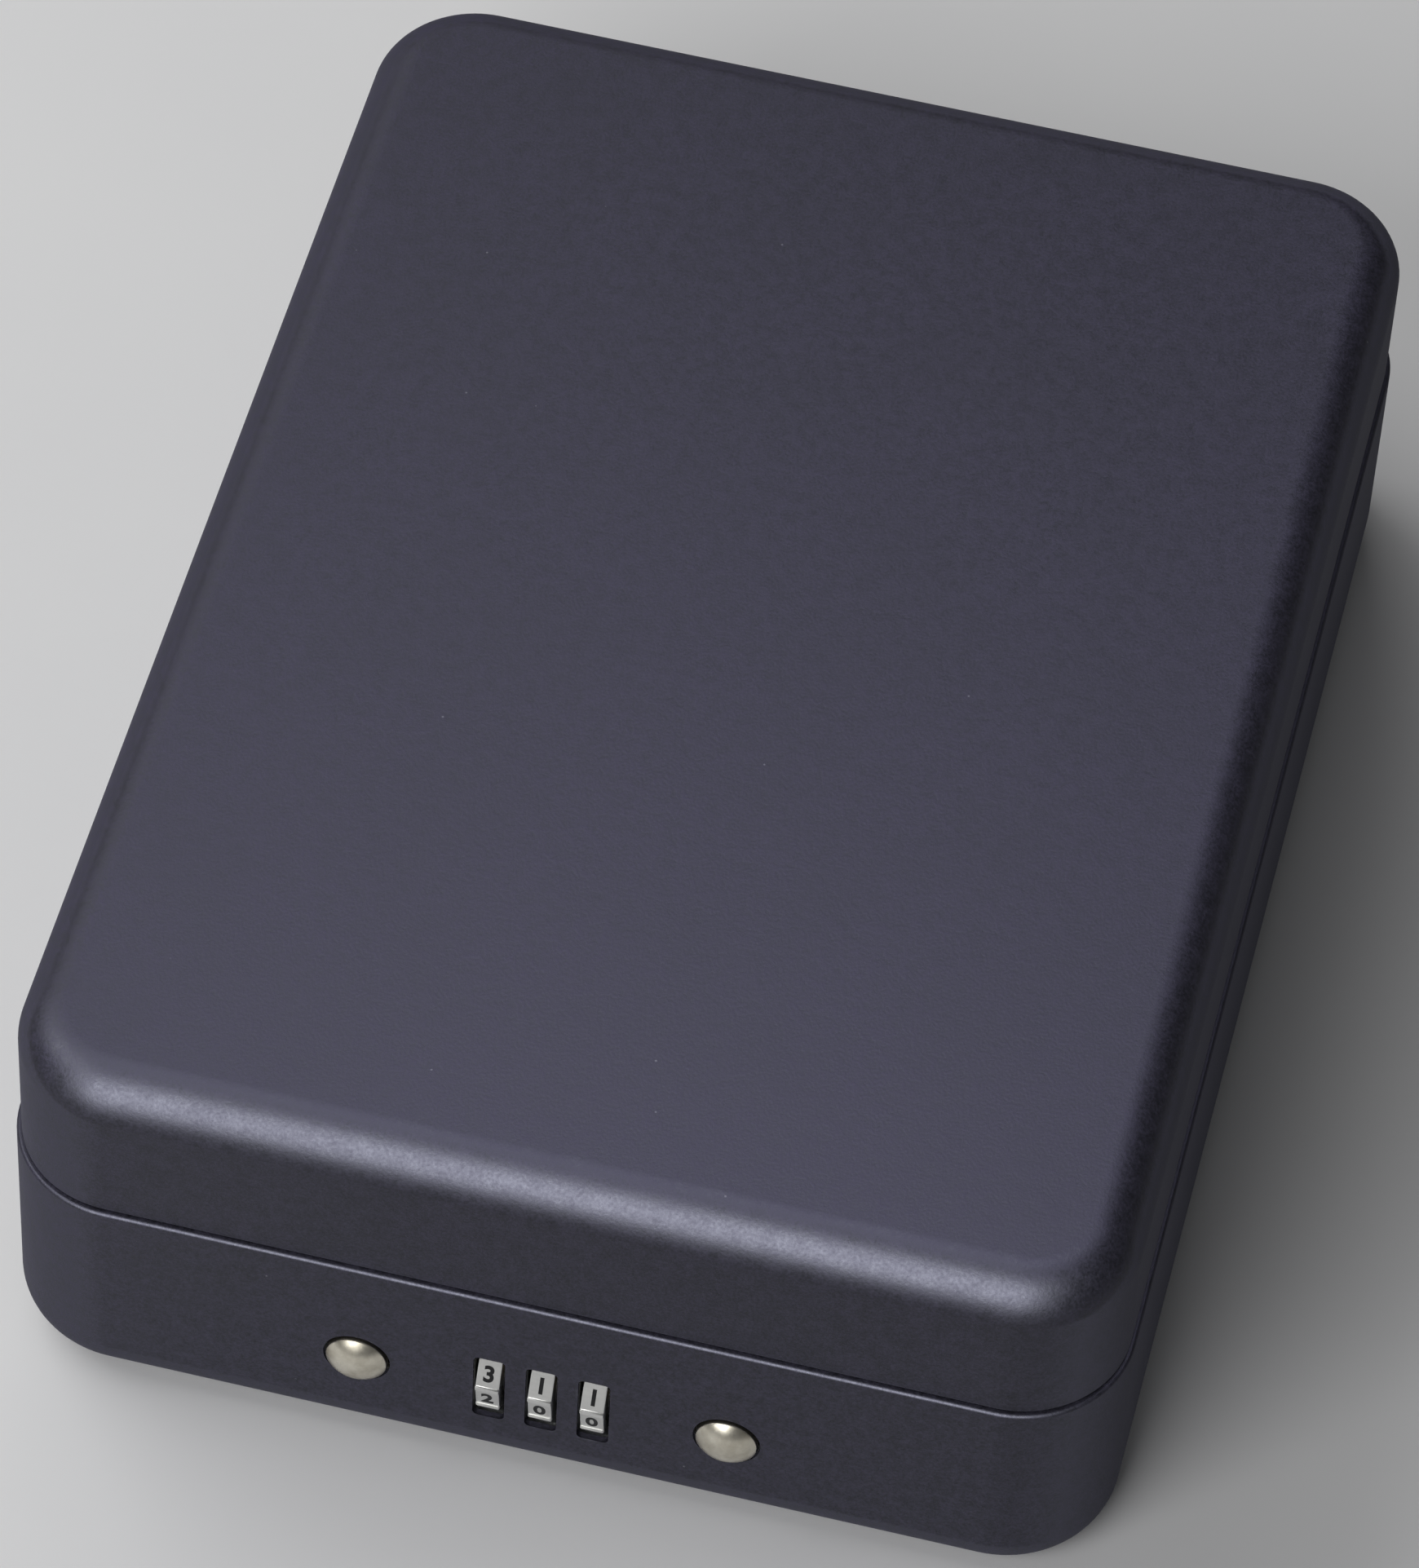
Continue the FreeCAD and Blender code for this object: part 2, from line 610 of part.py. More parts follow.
def latch_spring(side):
    """Spring between a paddle and the cover plate, round the paddle's peg."""
    start = PADDLE_BACK + SPRING_END_GAP
    return spring_coil(LATCH_SPRING_R, start, CASE_BACK - SPRING_END_GAP, side * BUTTON_X)


def striker(side):
    """Bracket under the lid's front wall, whose leg hangs into the lock with a window in it."""
    x = side * BUTTON_X
    lid_inner = LID_INSET + SHEET
    shelf_z = SEAM_Z + LINER_RISE + SHELF_ABOVE_LINER
    shelf_top = shelf_z + STRIKER_PLATE
    foot = lock_block(x - FOOT_HALF, x + FOOT_HALF, lid_inner, lid_inner + STRIKER_PLATE,
                      shelf_z, shelf_z + FOOT_HEIGHT)
    shelf = lock_block(x - LEG_HALF, x + LEG_HALF, lid_inner, LEG_BACK, shelf_z, shelf_top)
    leg = lock_block(x - LEG_HALF, x + LEG_HALF, LEG_FRONT, LEG_BACK, LEG_BOTTOM, shelf_top)
    window = lock_block(x - NOSE_HALF - WINDOW_GAP, x + NOSE_HALF + WINDOW_GAP, LEG_FRONT - 1, LEG_BACK + 1,
                        NOSE_LOW - WINDOW_GAP, NOSE_HIGH + 2 * WINDOW_GAP)
    foot_edges = [e for e in edges_along(foot, Vector(0, 1, 0)) if e.BoundBox.ZMin > shelf_top]
    return fused([foot.makeFillet(FOOT_R, foot_edges), shelf, leg]).cut(window)


# ---------------------------------------------------------------- dial unit

def dial_frame():
    """U-shaped frame that carries the shaft between two cheeks."""
    floor_top = CASE_FLOOR + FRAME_FLOOR
    solids = [lock_block(-FRAME_HALF, FRAME_HALF, FRAME_FRONT, FRAME_BACK, CASE_FLOOR, floor_top)]
    for side in SIDES.values():
        x0, x1 = sorted((side * FRAME_HALF, side * (FRAME_HALF - CHEEK)))
        cheek = lock_block(x0, x1, FRAME_FRONT, CHEEK_BACK, CASE_FLOOR, CHEEK_TOP)
        top_edges = [e for e in edges_along(cheek, Vector(1, 0, 0)) if e.BoundBox.ZMin > DIAL_Z]
        solids.append(cheek.makeFillet(CHEEK_R, top_edges))
    bore = rod_x(SHAFT_R + RUN_FIT, -2 * FRAME_HALF, 2 * FRAME_HALF, depth_y(DIAL_DEPTH), DIAL_Z)
    return fused(solids).cut(bore)


def dial_detent_spring():
    """Leaf spring with one finger behind each wheel."""
    floor = CASE_FLOOR + FRAME_FLOOR
    near = DIAL_DEPTH + DIAL_R + DETENT_GAP
    far = near + SPRING_LEAF
    solids = [lock_block(-DETENT_HALF, DETENT_HALF, near - DETENT_FOOT, far, floor, floor + SPRING_LEAF)]
    for x in DIAL_XS.values():
        x0 = x - DETENT_FINGER_HALF
        solids.append(lock_block(x0, x + DETENT_FINGER_HALF, near, far, floor, DIAL_Z + DETENT_RISE))
    return fused(solids)


def dial_wheel(x):
    """Ten-sided dial wheel with raised ridges between its flats and ten key slots in one side.

    The flats are turned down by FLAT_PHASE, so that the digit to be read faces up and forward."""
    y = depth_y(DIAL_DEPTH)
    centre = Vector(x, y, DIAL_Z)
    rim = rod_x(DIAL_R, x - DIAL_HALF_WIDTH, x + DIAL_HALF_WIDTH, y, DIAL_Z)
    hub = rod_x(HUB_R, x - HUB_HALF, x + HUB_HALF, y, DIAL_Z)
    tools = [rod_x(SLEEVE_R + RUN_FIT, x - DIAL_R, x + DIAL_R, y, DIAL_Z)]
    for index in range(POSITIONS):
        angle = 360 * index / POSITIONS
        flat = block(x - DIAL_R, x + DIAL_R, y - 2 * DIAL_R, y - DIAL_FLAT_R,
                     DIAL_Z - DIAL_FLAT_HALF, DIAL_Z + DIAL_FLAT_HALF)
        key_slot = block(x + RECESS_START, x + DIAL_R, y, y + KEY_R + KEY_GAP,
                         DIAL_Z - KEY_HALF - KEY_GAP, DIAL_Z + KEY_HALF + KEY_GAP)
        for tool, turn in ((flat, angle + FLAT_PHASE), (key_slot, angle)):
            tool.rotate(centre, Vector(1, 0, 0), turn)
            tools.append(tool)
    return cut_all(fused([rim, hub]), tools)


def code_sleeve(x):
    """Sleeve under a wheel, with one key and a gated disc that the fence finger enters."""
    y = depth_y(DIAL_DEPTH)
    hub = rod_x(SLEEVE_R, x - SLEEVE_LEFT, x + DISC_SPAN[1], y, DIAL_Z)
    disc = rod_x(DISC_R, x + DISC_SPAN[0], x + DISC_SPAN[1], y, DIAL_Z)
    gate = block(x, x + DISC_SPAN[1] + 1, y - DIAL_R, y + GATE_FLOOR, DIAL_Z + GATE_HEIGHT, DIAL_Z + DIAL_R)
    key = block(x + KEY_START, x + DISC_SPAN[0] + KEY_LAP, y + SLEEVE_R - KEY_LAP, y + KEY_R,
                DIAL_Z - KEY_HALF, DIAL_Z + KEY_HALF)
    bore = rod_x(SHAFT_R + RUN_FIT, x - DIAL_R, x + DIAL_R, y, DIAL_Z)
    return fused([hub, disc.cut(gate), key]).cut(bore)


def dial_shaft():
    """Shaft with four clip grooves."""
    y = depth_y(DIAL_DEPTH)
    shaft = rod_x(SHAFT_R, SHAFT_LEFT, SHAFT_RIGHT, y, DIAL_Z)
    tools = []
    for x in CLIP_XS:
        ring = rod_x(2 * SHAFT_R, x, x + SHAFT_CLIP, y, DIAL_Z)
        tools.append(ring.cut(rod_x(SHAFT_GROOVE_R, x - 1, x + 2, y, DIAL_Z)))
    return cut_all(shaft, tools)


def shaft_clips():
    """Four open clips that keep the sleeves in place on the shaft."""
    y = depth_y(DIAL_DEPTH)
    clips = []
    for x in CLIP_XS:
        ring = rod_x(SHAFT_CLIP_R, x, x + SHAFT_CLIP, y, DIAL_Z)
        hole = rod_x(SHAFT_GROOVE_R, x - 1, x + 2, y, DIAL_Z)
        mouth = block(x - 1, x + 2, y - SHAFT_CLIP_MOUTH, y + SHAFT_CLIP_MOUTH,
                      DIAL_Z - 2 * SHAFT_CLIP_R, DIAL_Z)
        clips.append(cut_all(ring, [hole, mouth]))
    return Part.makeCompound(clips)


def reset_lever():
    """Lever on the shaft's end that reaches back through the cover plate to a finger tab."""
    y = depth_y(DIAL_DEPTH)
    low = DIAL_Z - LEVER_HALF
    high = DIAL_Z + LEVER_HALF
    arm = lock_block(LEVER_X, LEVER_X + SHEET, DIAL_DEPTH - LEVER_NOSE, LEVER_END, low, high)
    tab = lock_block(LEVER_X, LEVER_X + LEVER_TAB, LEVER_END - SHEET, LEVER_END, low, high)
    return fused([arm, tab]).cut(rod_x(SHAFT_R, 0, 2 * LEVER_X, y, DIAL_Z))


# ---------------------------------------------------------------- assembly

def build():
    """Every node of the box, by name."""
    nodes = {
        "base_shell": base_shell(),
        "lid_shell": lid_shell(),
        "rim_liner": rim_liner(),
        "base_foam_liner": foam_pad(BASE_PAD_MARGIN, BASE_PAD_R, SHEET, BASE_PAD_THICK),
        "lid_foam_liner": foam_pad(LID_PAD_MARGIN, LID_PAD_R, HEIGHT - SHEET - LID_PAD_THICK, LID_PAD_THICK),
        "hinge_leaf_base": hinge_leaf_base(),
        "hinge_leaf_lid": hinge_leaf_lid(),
        "hinge_pin": hinge_pin(),
        "lock_case": lock_case(),
        "lock_cover_plate": lock_cover_plate(),
        "cover_screws": cover_screws(),
        "case_studs": case_studs(),
        "case_nuts": case_nuts(),
        "button_clips": button_clips(),
        "release_yoke": release_yoke(),
        "latch_bar": latch_bar(),
        "dial_frame": dial_frame(),
        "dial_detent_spring": dial_detent_spring(),
        "dial_shaft": dial_shaft(),
        "shaft_clips": shaft_clips(),
        "reset_lever": reset_lever(),
    }
    for name, side in SIDES.items():
        nodes["guide_bracket_" + name] = guide_bracket(side)
        nodes["button_" + name] = button(side)
        nodes["button_spring_" + name] = button_spring(side)
        nodes["latch_spring_" + name] = latch_spring(side)
        nodes["striker_" + name] = striker(side)
    for name, x in DIAL_XS.items():
        nodes["dial_wheel_" + name] = dial_wheel(x)
        nodes["code_sleeve_" + name] = code_sleeve(x)
    return nodes


os.makedirs("parts", exist_ok=True)
for node_name, shape in build().items():
    shape.exportStep("parts/" + node_name + ".step")
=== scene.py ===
import math

import bmesh
import bpy
from mathutils import Euler, Matrix, Vector


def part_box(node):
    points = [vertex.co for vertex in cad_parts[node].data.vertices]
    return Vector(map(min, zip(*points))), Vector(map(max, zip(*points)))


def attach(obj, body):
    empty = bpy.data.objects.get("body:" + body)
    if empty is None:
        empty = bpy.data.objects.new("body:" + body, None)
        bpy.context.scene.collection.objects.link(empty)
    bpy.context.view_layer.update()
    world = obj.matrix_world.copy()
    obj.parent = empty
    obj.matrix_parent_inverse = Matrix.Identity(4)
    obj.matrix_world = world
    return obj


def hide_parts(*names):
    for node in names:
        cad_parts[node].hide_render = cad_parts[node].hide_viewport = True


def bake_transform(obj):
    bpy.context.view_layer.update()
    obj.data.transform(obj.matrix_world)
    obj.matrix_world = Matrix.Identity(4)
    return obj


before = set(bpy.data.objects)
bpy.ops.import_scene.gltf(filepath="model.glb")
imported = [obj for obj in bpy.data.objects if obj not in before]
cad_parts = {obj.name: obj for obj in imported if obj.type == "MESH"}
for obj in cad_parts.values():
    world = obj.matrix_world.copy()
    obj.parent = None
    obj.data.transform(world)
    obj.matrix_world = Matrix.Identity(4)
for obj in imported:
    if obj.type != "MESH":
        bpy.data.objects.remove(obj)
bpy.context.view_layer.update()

# Cash box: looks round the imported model. Shape numbers are in millimetres, and
# every mesh is scaled to metres as it is made.

MM = 0.001


def box_mm(node):
    """Lowest and highest corner of a CAD node, in millimetres."""
    low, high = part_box(node)
    return low / MM, high / MM


def centre_mm(node):
    low, high = box_mm(node)
    return (low + high) / 2


BASE_LOW, BASE_HIGH = box_mm("base_shell")
LID_LOW, LID_HIGH = box_mm("lid_shell")
HALF_X = BASE_HIGH.x
HALF_Y = BASE_HIGH.y
SEAM_Z = BASE_HIGH.z
SKIRT_Z = LID_LOW.z
TOP_Z = LID_HIGH.z
LID_INSET = HALF_X - LID_HIGH.x
FRONT_Y = BASE_LOW.y

# Sheet metal: the plan's corner, the two large fillets, the base's hem and the lid's lip.
CORNER_R = 18.5
SHEET = 1.2
BOTTOM_FILLET = 8.0
TOP_FILLET = 7.9
HEM_WALL = 2.4
HEM_DEPTH = 6.0
HEM_ROUND = 0.6
HEM_EDGE_ROUND = 0.5
HEM_GAP = 0.25
HEM_STEP = 0.3
LIP_ROUND = 0.38
LIP_RING_RISE = 8.0
WALL_RING_Z = 22.0
CROWN = 0.45
SMALLEST_CORNER_R = 0.3

# How finely the plan is divided: corners, straight sides, and towards the middle.
CORNER_STEPS = 22
RUN_X = 22
RUN_Y = 32
CAP_STEPS = 22


# ------------------------------------------------------------------ meshes

def to_object(name, mesh):
    """A new object in the scene that holds the given data."""
    obj = bpy.data.objects.new(name, mesh)
    bpy.context.scene.collection.objects.link(obj)
    return obj


def from_bmesh(name, bm):
    """An object from a bmesh in millimetres, with its normals outward."""
    bmesh.ops.recalc_face_normals(bm, faces=bm.faces)
    mesh = bpy.data.meshes.new(name)
    bm.to_mesh(mesh)
    bm.free()
    mesh.transform(Matrix.Scale(MM, 4))
    return to_object(name, mesh)


def from_parts(name, vertices, faces):
    """An object from lists of points and faces, in millimetres."""
    bm = bmesh.new()
    made = [bm.verts.new(v) for v in vertices]
    for face in faces:
        bm.faces.new([made[i] for i in face])
    return from_bmesh(name, bm)


def smooth(obj, angle=32):
    """Smooth shading that keeps its creases, weighted so that flat areas stay flat."""
    obj.data.shade_smooth()
    obj.data.set_sharp_from_angle(angle=math.radians(angle))
    weighted = obj.modifiers.new("weighted", "WEIGHTED_NORMAL")
    weighted.keep_sharp = True
    weighted.mode = "FACE_AREA_WITH_ANGLE"
    return obj


def evaluated(obj):
    """The object's mesh with its modifiers applied."""
    graph = bpy.context.evaluated_depsgraph_get()
    mesh = bpy.data.meshes.new_from_object(obj.evaluated_get(graph))
    obj.modifiers.clear()
    obj.data = mesh
    return obj


def carve(obj, cutters):
    """Cuts the cutter objects out of obj."""
    for cutter in cutters:
        cut = obj.modifiers.new("cut", "BOOLEAN")
        cut.operation = "DIFFERENCE"
        cut.solver = "EXACT"
        cut.object = cutter
    bpy.context.view_layer.update()
    evaluated(obj)
    for cutter in cutters:
        bpy.data.objects.remove(cutter)
    return obj


def loft(bm, rings, start=None, end=None, closed=False):
    """Quads between rings of equal length. start and end close the loft with a point each."""
    layers = [[bm.verts.new(p) for p in ring] for ring in rings]
    count = len(layers[0])
    pairs = list(zip(layers, layers[1:]))
    if closed:
        pairs.append((layers[-1], layers[0]))
    for one, two in pairs:
        for i in range(count):
            j = (i + 1) % count
            bm.faces.new((one[i], one[j], two[j], two[i]))
    for point, layer in ((start, layers[0]), (end, layers[-1])):
        if point is not None:
            tip = bm.verts.new(point)
            for i in range(count):
                bm.faces.new((layer[i], layer[(i + 1) % count], tip))
    return layers


def arc(centre_u, centre_v, radius, start, end, steps):
    """Points on an arc, as (u, v), from start to end in degrees."""
    points = []
    for i in range(steps + 1):
        angle = math.radians(start + (end - start) * i / steps)
        points.append((centre_u + radius * math.cos(angle), centre_v + radius * math.sin(angle)))
    return points


def outline(half_u, half_v, radius, corner_steps, run_u=1, run_v=1):
    """A rounded rectangle's points in order, as (u, v), with its straight sides divided."""
    points = []
    turns = ((1, -1, -90), (1, 1, 0), (-1, 1, 90), (-1, -1, 180))
    corners = []
    for side_u, side_v, start in turns:
        corners.append(arc(side_u * (half_u - radius), side_v * (half_v - radius), radius,
                           start, start + 90, corner_steps))
    for index, corner in enumerate(corners):
        points += corner
        nearest = corners[(index + 1) % 4][0]
        divisions = run_v if index % 2 == 0 else run_u
        for i in range(1, divisions):
            t = i / divisions
            points.append((corner[-1][0] * (1 - t) + nearest[0] * t,
                           corner[-1][1] * (1 - t) + nearest[1] * t))
    return points


def plan_ring(inset, z):
    """The box's plan at one inset and height."""
    flat = outline(HALF_X - inset, HALF_Y - inset, max(CORNER_R - inset, SMALLEST_CORNER_R),
                   CORNER_STEPS, RUN_X, RUN_Y)
    return [(x, y, z) for x, y in flat]


def cap_rings(inset, height):
    """Rings that close the plan towards its middle, at the heights that height(x, y) gives."""
    edge = plan_ring(inset, 0)
    rings = []
    for step in range(1, CAP_STEPS):
        share = 1 - step / CAP_STEPS
        rings.append([(x * share, y * share, height(x * share, y * share)) for x, y, _ in edge])
    return rings, (0, 0, height(0, 0))


def turned(name, profile, centre_x, centre_z, segments=72):
    """A part turned on an axis along Y, from (radius, y) points whose ends lie on the axis."""
    bm = bmesh.new()
    rings = []
    for radius, y in profile[1:-1]:
        ring = []
        for i in range(segments):
            angle = 2 * math.pi * i / segments
            ring.append((centre_x + radius * math.cos(angle), y, centre_z + radius * math.sin(angle)))
        rings.append(ring)
    ends = [(centre_x, profile[0][1], centre_z), (centre_x, profile[-1][1], centre_z)]
    loft(bm, rings, ends[0], ends[1])
    return from_bmesh(name, bm)


# ------------------------------------------------------------------ materials

class Surface:
    """A Principled material, with short calls to add nodes to it."""

    def __init__(self, name, **sockets):
        self.material = bpy.data.materials.new(name)
        self.material.use_nodes = True
        self.tree = self.material.node_tree
        self.shader = self.tree.nodes["Principled BSDF"]
        for key, value in sockets.items():
            self.set(key.replace("_", " "), value)
        self.place = self.add("ShaderNodeTexCoord").outputs["Object"]

    def put(self, socket, value):
        if isinstance(value, bpy.types.NodeSocket):
            self.tree.links.new(value, socket)
        else:
            socket.default_value = value

    def set(self, key, value):
        self.put(self.shader.inputs[key], value)

    def add(self, kind, sockets=None, **settings):
        made = self.tree.nodes.new(kind)
        for key, value in settings.items():
            setattr(made, key, value)
        for key, value in (sockets or {}).items():
            self.put(made.inputs[key], value)
        return made

    def stretch(self, scale):
        """The place, scaled differently along each axis."""
        return self.add("ShaderNodeMapping", {"Vector": self.place, "Scale": scale}).outputs[0]

    def noise(self, scale, detail=2.0, roughness=0.5, place=None):
        made = self.add("ShaderNodeTexNoise", {"Vector": place or self.place, "Scale": scale,
                                               "Detail": detail, "Roughness": roughness})
        return made.outputs["Fac"]

    def cells(self, scale, output="Distance"):
        made = self.add("ShaderNodeTexVoronoi", {"Vector": self.place, "Scale": scale})
        return made.outputs[output]

    def ramp(self, value, low, high, start=0.0, end=1.0):
        """The value's range low to high mapped to start to end, and held there outside it."""
        made = self.add("ShaderNodeMapRange", {0: value, 1: low, 2: high, 3: start, 4: end})
        return made.outputs[0]

    def math(self, operation, one, two=0.0):
        return self.add("ShaderNodeMath", {0: one, 1: two}, operation=operation).outputs[0]

    def mix(self, share, one, two):
        made = self.add("ShaderNodeMix", data_type="RGBA")
        self.put(made.inputs[0], share)
        self.put(made.inputs[6], one)
        self.put(made.inputs[7], two)
        return made.outputs[2]

    def bump(self, height, distance, strength=1.0, normal=None):
        made = self.add("ShaderNodeBump", {"Height": height, "Distance": distance, "Strength": strength})
        if normal is not None:
            self.put(made.inputs["Normal"], normal)
        return made.outputs["Normal"]

    def edge(self, radius):
        """0 on flat areas and up to 1 where the surface turns sharply."""
        bevel = self.add("ShaderNodeBevel", {"Radius": radius}, samples=4).outputs[0]
        plain = self.add("ShaderNodeNewGeometry").outputs["Normal"]
        dot = self.add("ShaderNodeVectorMath", {0: bevel, 1: plain}, operation="DOT_PRODUCT")
        return self.ramp(dot.outputs["Value"], 0.98, 0.80)


def srgb(red, green, blue, alpha=1.0):
    """A linear colour from sRGB bytes."""
    def linear(byte):
        share = byte / 255
        return share / 12.92 if share <= 0.04045 else ((share + 0.055) / 1.055) ** 2.4
    return (linear(red), linear(green), linear(blue), alpha)


def powder_coat(name, dark, light, speck, wear):
    """Fine-grained powder coating over sheet steel."""
    s = Surface(name, Metallic=0.0, Specular_IOR_Level=0.35, Specular_Tint=(0.80, 0.82, 1.0, 1.0))
    grain = s.noise(1900, 2.0, 0.6)
    patch = s.noise(38, 3.0, 0.55)
    blotch = s.noise(420, 2.0, 0.6)
    tone = s.math("ADD", s.ramp(grain, 0.36, 0.64, 0.0, 0.62), s.ramp(blotch, 0.36, 0.64, 0.0, 0.38))
    body = s.mix(tone, dark, light)
    body = s.mix(s.ramp(patch, 0.42, 0.62, 0.0, 0.22), body, dark)
    chosen = s.cells(430, "Color")
    lucky = s.math("GREATER_THAN", s.add("ShaderNodeSeparateColor", {0: chosen}).outputs[0], 0.985)
    dot = s.ramp(s.cells(430), 0.10, 0.05)
    body = s.mix(s.math("MULTIPLY", s.math("MULTIPLY", lucky, dot), 0.30), body, speck)
    rim = s.edge(0.0006)
    worn = s.math("MULTIPLY", rim, s.ramp(s.noise(160, 4.0, 0.65), 0.56, 0.72, 0.0, wear))
    body = s.mix(worn, body, srgb(120, 122, 130))
    s.set("Base Color", body)
    satin = s.ramp(s.math("ADD", grain, s.math("MULTIPLY", blotch, 0.5)), 0.50, 1.00, 0.42, 0.58)
    glancing = s.add("ShaderNodeLayerWeight", {"Blend": 0.5}).outputs["Facing"]
    s.set("Roughness", s.math("ADD", satin, s.ramp(glancing, 0.42, 0.53, 0.0, 0.40)))
    fine = s.bump(grain, 0.000045, 0.75)
    s.set("Normal", s.bump(blotch, 0.000050, 0.55, fine))
    return s.material


def brushed(name, colour, shade, direction, roughness):
    """Metal with a drawn or brushed finish: direction is the scale of its lines along X, Y and Z."""
    s = Surface(name, Metallic=1.0)
    lines = s.noise(1.0, 3.0, 0.6, s.stretch(direction))
    cloud = s.noise(95, 4.0, 0.6)
    share = s.math("ADD", s.math("MULTIPLY", lines, 0.5), s.math("MULTIPLY", cloud, 0.5))
    s.set("Base Color", s.mix(share, shade, colour))
    s.set("Roughness", s.ramp(s.math("ADD", lines, cloud), 0.6, 1.4, roughness - 0.07, roughness + 0.10))
    s.set("Normal", s.bump(lines, 0.000008, 0.30))
    return s.material


def zinc_plate(name):
    """Pressed steel with a bright zinc finish, faint spangle and handling marks."""
    s = Surface(name, Metallic=1.0)
    spangle = s.add("ShaderNodeSeparateColor", {0: s.cells(150, "Color")}).outputs[0]
    cloud = s.noise(70, 5.0, 0.6)
    roll = s.noise(1.0, 3.0, 0.6, s.stretch((60, 900, 900)))
    body = s.mix(s.math("MULTIPLY", spangle, 0.35), srgb(171, 173, 176), srgb(196, 197, 198))
    body = s.mix(s.ramp(cloud, 0.45, 0.75, 0.0, 0.5), body, srgb(178, 172, 158))
    s.set("Base Color", body)
    s.set("Roughness", s.ramp(s.math("ADD", cloud, s.math("MULTIPLY", roll, 0.6)), 0.5, 1.2, 0.27, 0.45))
    s.set("Normal", s.bump(roll, 0.000010, 0.35))
    return s.material


def domed_nickel(name):
    """Satin nickel with a fine grain and a few soft marks."""
    s = Surface(name, Metallic=1.0)
    cloud = s.noise(260, 4.0, 0.62)
    fine = s.noise(1900, 2.0, 0.5)
    s.set("Base Color", s.mix(s.ramp(cloud, 0.35, 0.72), srgb(226, 221, 206), srgb(184, 177, 160)))
    s.set("Roughness", s.ramp(s.math("ADD", cloud, s.math("MULTIPLY", fine, 0.4)), 0.4, 1.0, 0.26, 0.40))
    s.set("Normal", s.bump(fine, 0.000012, 0.35, s.bump(cloud, 0.00006, 0.30)))
    return s.material


def open_foam(name, dark, light):
    """Open-cell foam: pores in several sizes, painted darker inside as their shade."""
    s = Surface(name, Metallic=0.0, Specular_IOR_Level=0.2, Sheen_Weight=0.25, Sheen_Roughness=0.6)
    pores = s.cells(1500)
    coarse = s.cells(620)
    cloud = s.noise(60, 3.0, 0.55)
    depth = s.math("ADD", s.math("MULTIPLY", pores, 0.6), s.math("MULTIPLY", coarse, 0.4))
    # Painted shade: the pores are coloured darker than the cell walls, standing in for the shade inside
    # them. The same pore depth also drives the bump.
    body = s.mix(s.ramp(depth, 0.12, 0.50), dark, light)
    s.set("Base Color", s.mix(s.ramp(cloud, 0.4, 0.7, 0.0, 0.35), body, dark))
    s.set("Roughness", s.ramp(cloud, 0.3, 0.7, 0.86, 0.97))
    s.set("Normal", s.bump(depth, 0.00035, 0.7))
    return s.material


def enamel(name, colour, shade):
    """Paint filled into a figure."""
    s = Surface(name, Metallic=0.0, Specular_IOR_Level=0.35)
    s.set("Base Color", s.mix(s.noise(1400, 3.0, 0.6), shade, colour))
    s.set("Roughness", s.ramp(s.noise(900, 2.0, 0.5), 0.3, 0.7, 0.42, 0.60))
    s.set("Normal", s.bump(s.noise(2400, 2.0, 0.5), 0.000010, 0.35))
    return s.material


def paper_floor(name):
    """Pale matt board."""
    s = Surface(name, Metallic=0.0, Specular_IOR_Level=0.15)
    s.set("Base Color", s.mix(s.noise(14, 4.0, 0.6), srgb(226, 226, 227), srgb(231, 231, 231)))
    s.set("Roughness", s.ramp(s.noise(300, 3.0, 0.5), 0.3, 0.7, 0.80, 0.90))
    s.set("Normal", s.bump(s.noise(1200, 3.0, 0.6), 0.00002, 0.15))
    return s.material


COATING = powder_coat("coating", srgb(5, 3, 11), srgb(24, 17, 38), srgb(150, 150, 158), 0.25)
LINER_COATING = powder_coat("liner_coating", srgb(19, 17, 25), srgb(37, 35, 46),
                            srgb(110, 110, 116), 0.55)
HINGE_COATING = powder_coat("hinge_coating", srgb(18, 16, 26), srgb(38, 35, 50),
                            srgb(130, 130, 138), 0.80)
ZINC = zinc_plate("zinc_plate")
FASTENER = brushed("fastener_steel", srgb(196, 192, 180), srgb(160, 155, 142), (700, 700, 700), 0.30)
SPRING = brushed("spring_steel", srgb(150, 148, 144), srgb(112, 110, 108), (500, 1600, 500), 0.34)
PIN = brushed("pin_steel", srgb(178, 178, 178), srgb(142, 142, 144), (120, 2600, 2600), 0.28)
BRASS = brushed("sleeve_brass", srgb(214, 181, 108), srgb(176, 143, 80), (180, 1500, 1500), 0.30)
NICKEL = domed_nickel("satin_nickel")
DIAL = brushed("dial_metal", srgb(238, 238, 235), srgb(205, 205, 203), (150, 1700, 1700), 0.30)
FOAM = open_foam("foam", srgb(20, 20, 23), srgb(62, 62, 67))
INK = enamel("digit_enamel", srgb(22, 22, 26), srgb(12, 12, 15))


def dress(obj, material):
    """Gives a piece one material."""
    obj.data.materials.clear()
    obj.data.materials.append(material)
    return obj


# ------------------------------------------------------------------ shells

def lid_height(x, y):
    """Height of the crowned top above its own edge, from 0 at the edge to CROWN in the middle."""
    u = min(abs(x) / (HALF_X - LID_INSET - TOP_FILLET), 1)
    v = min(abs(y) / (HALF_Y - LID_INSET - TOP_FILLET), 1)
    return CROWN * (1 - u * u) * (1 - v * v)


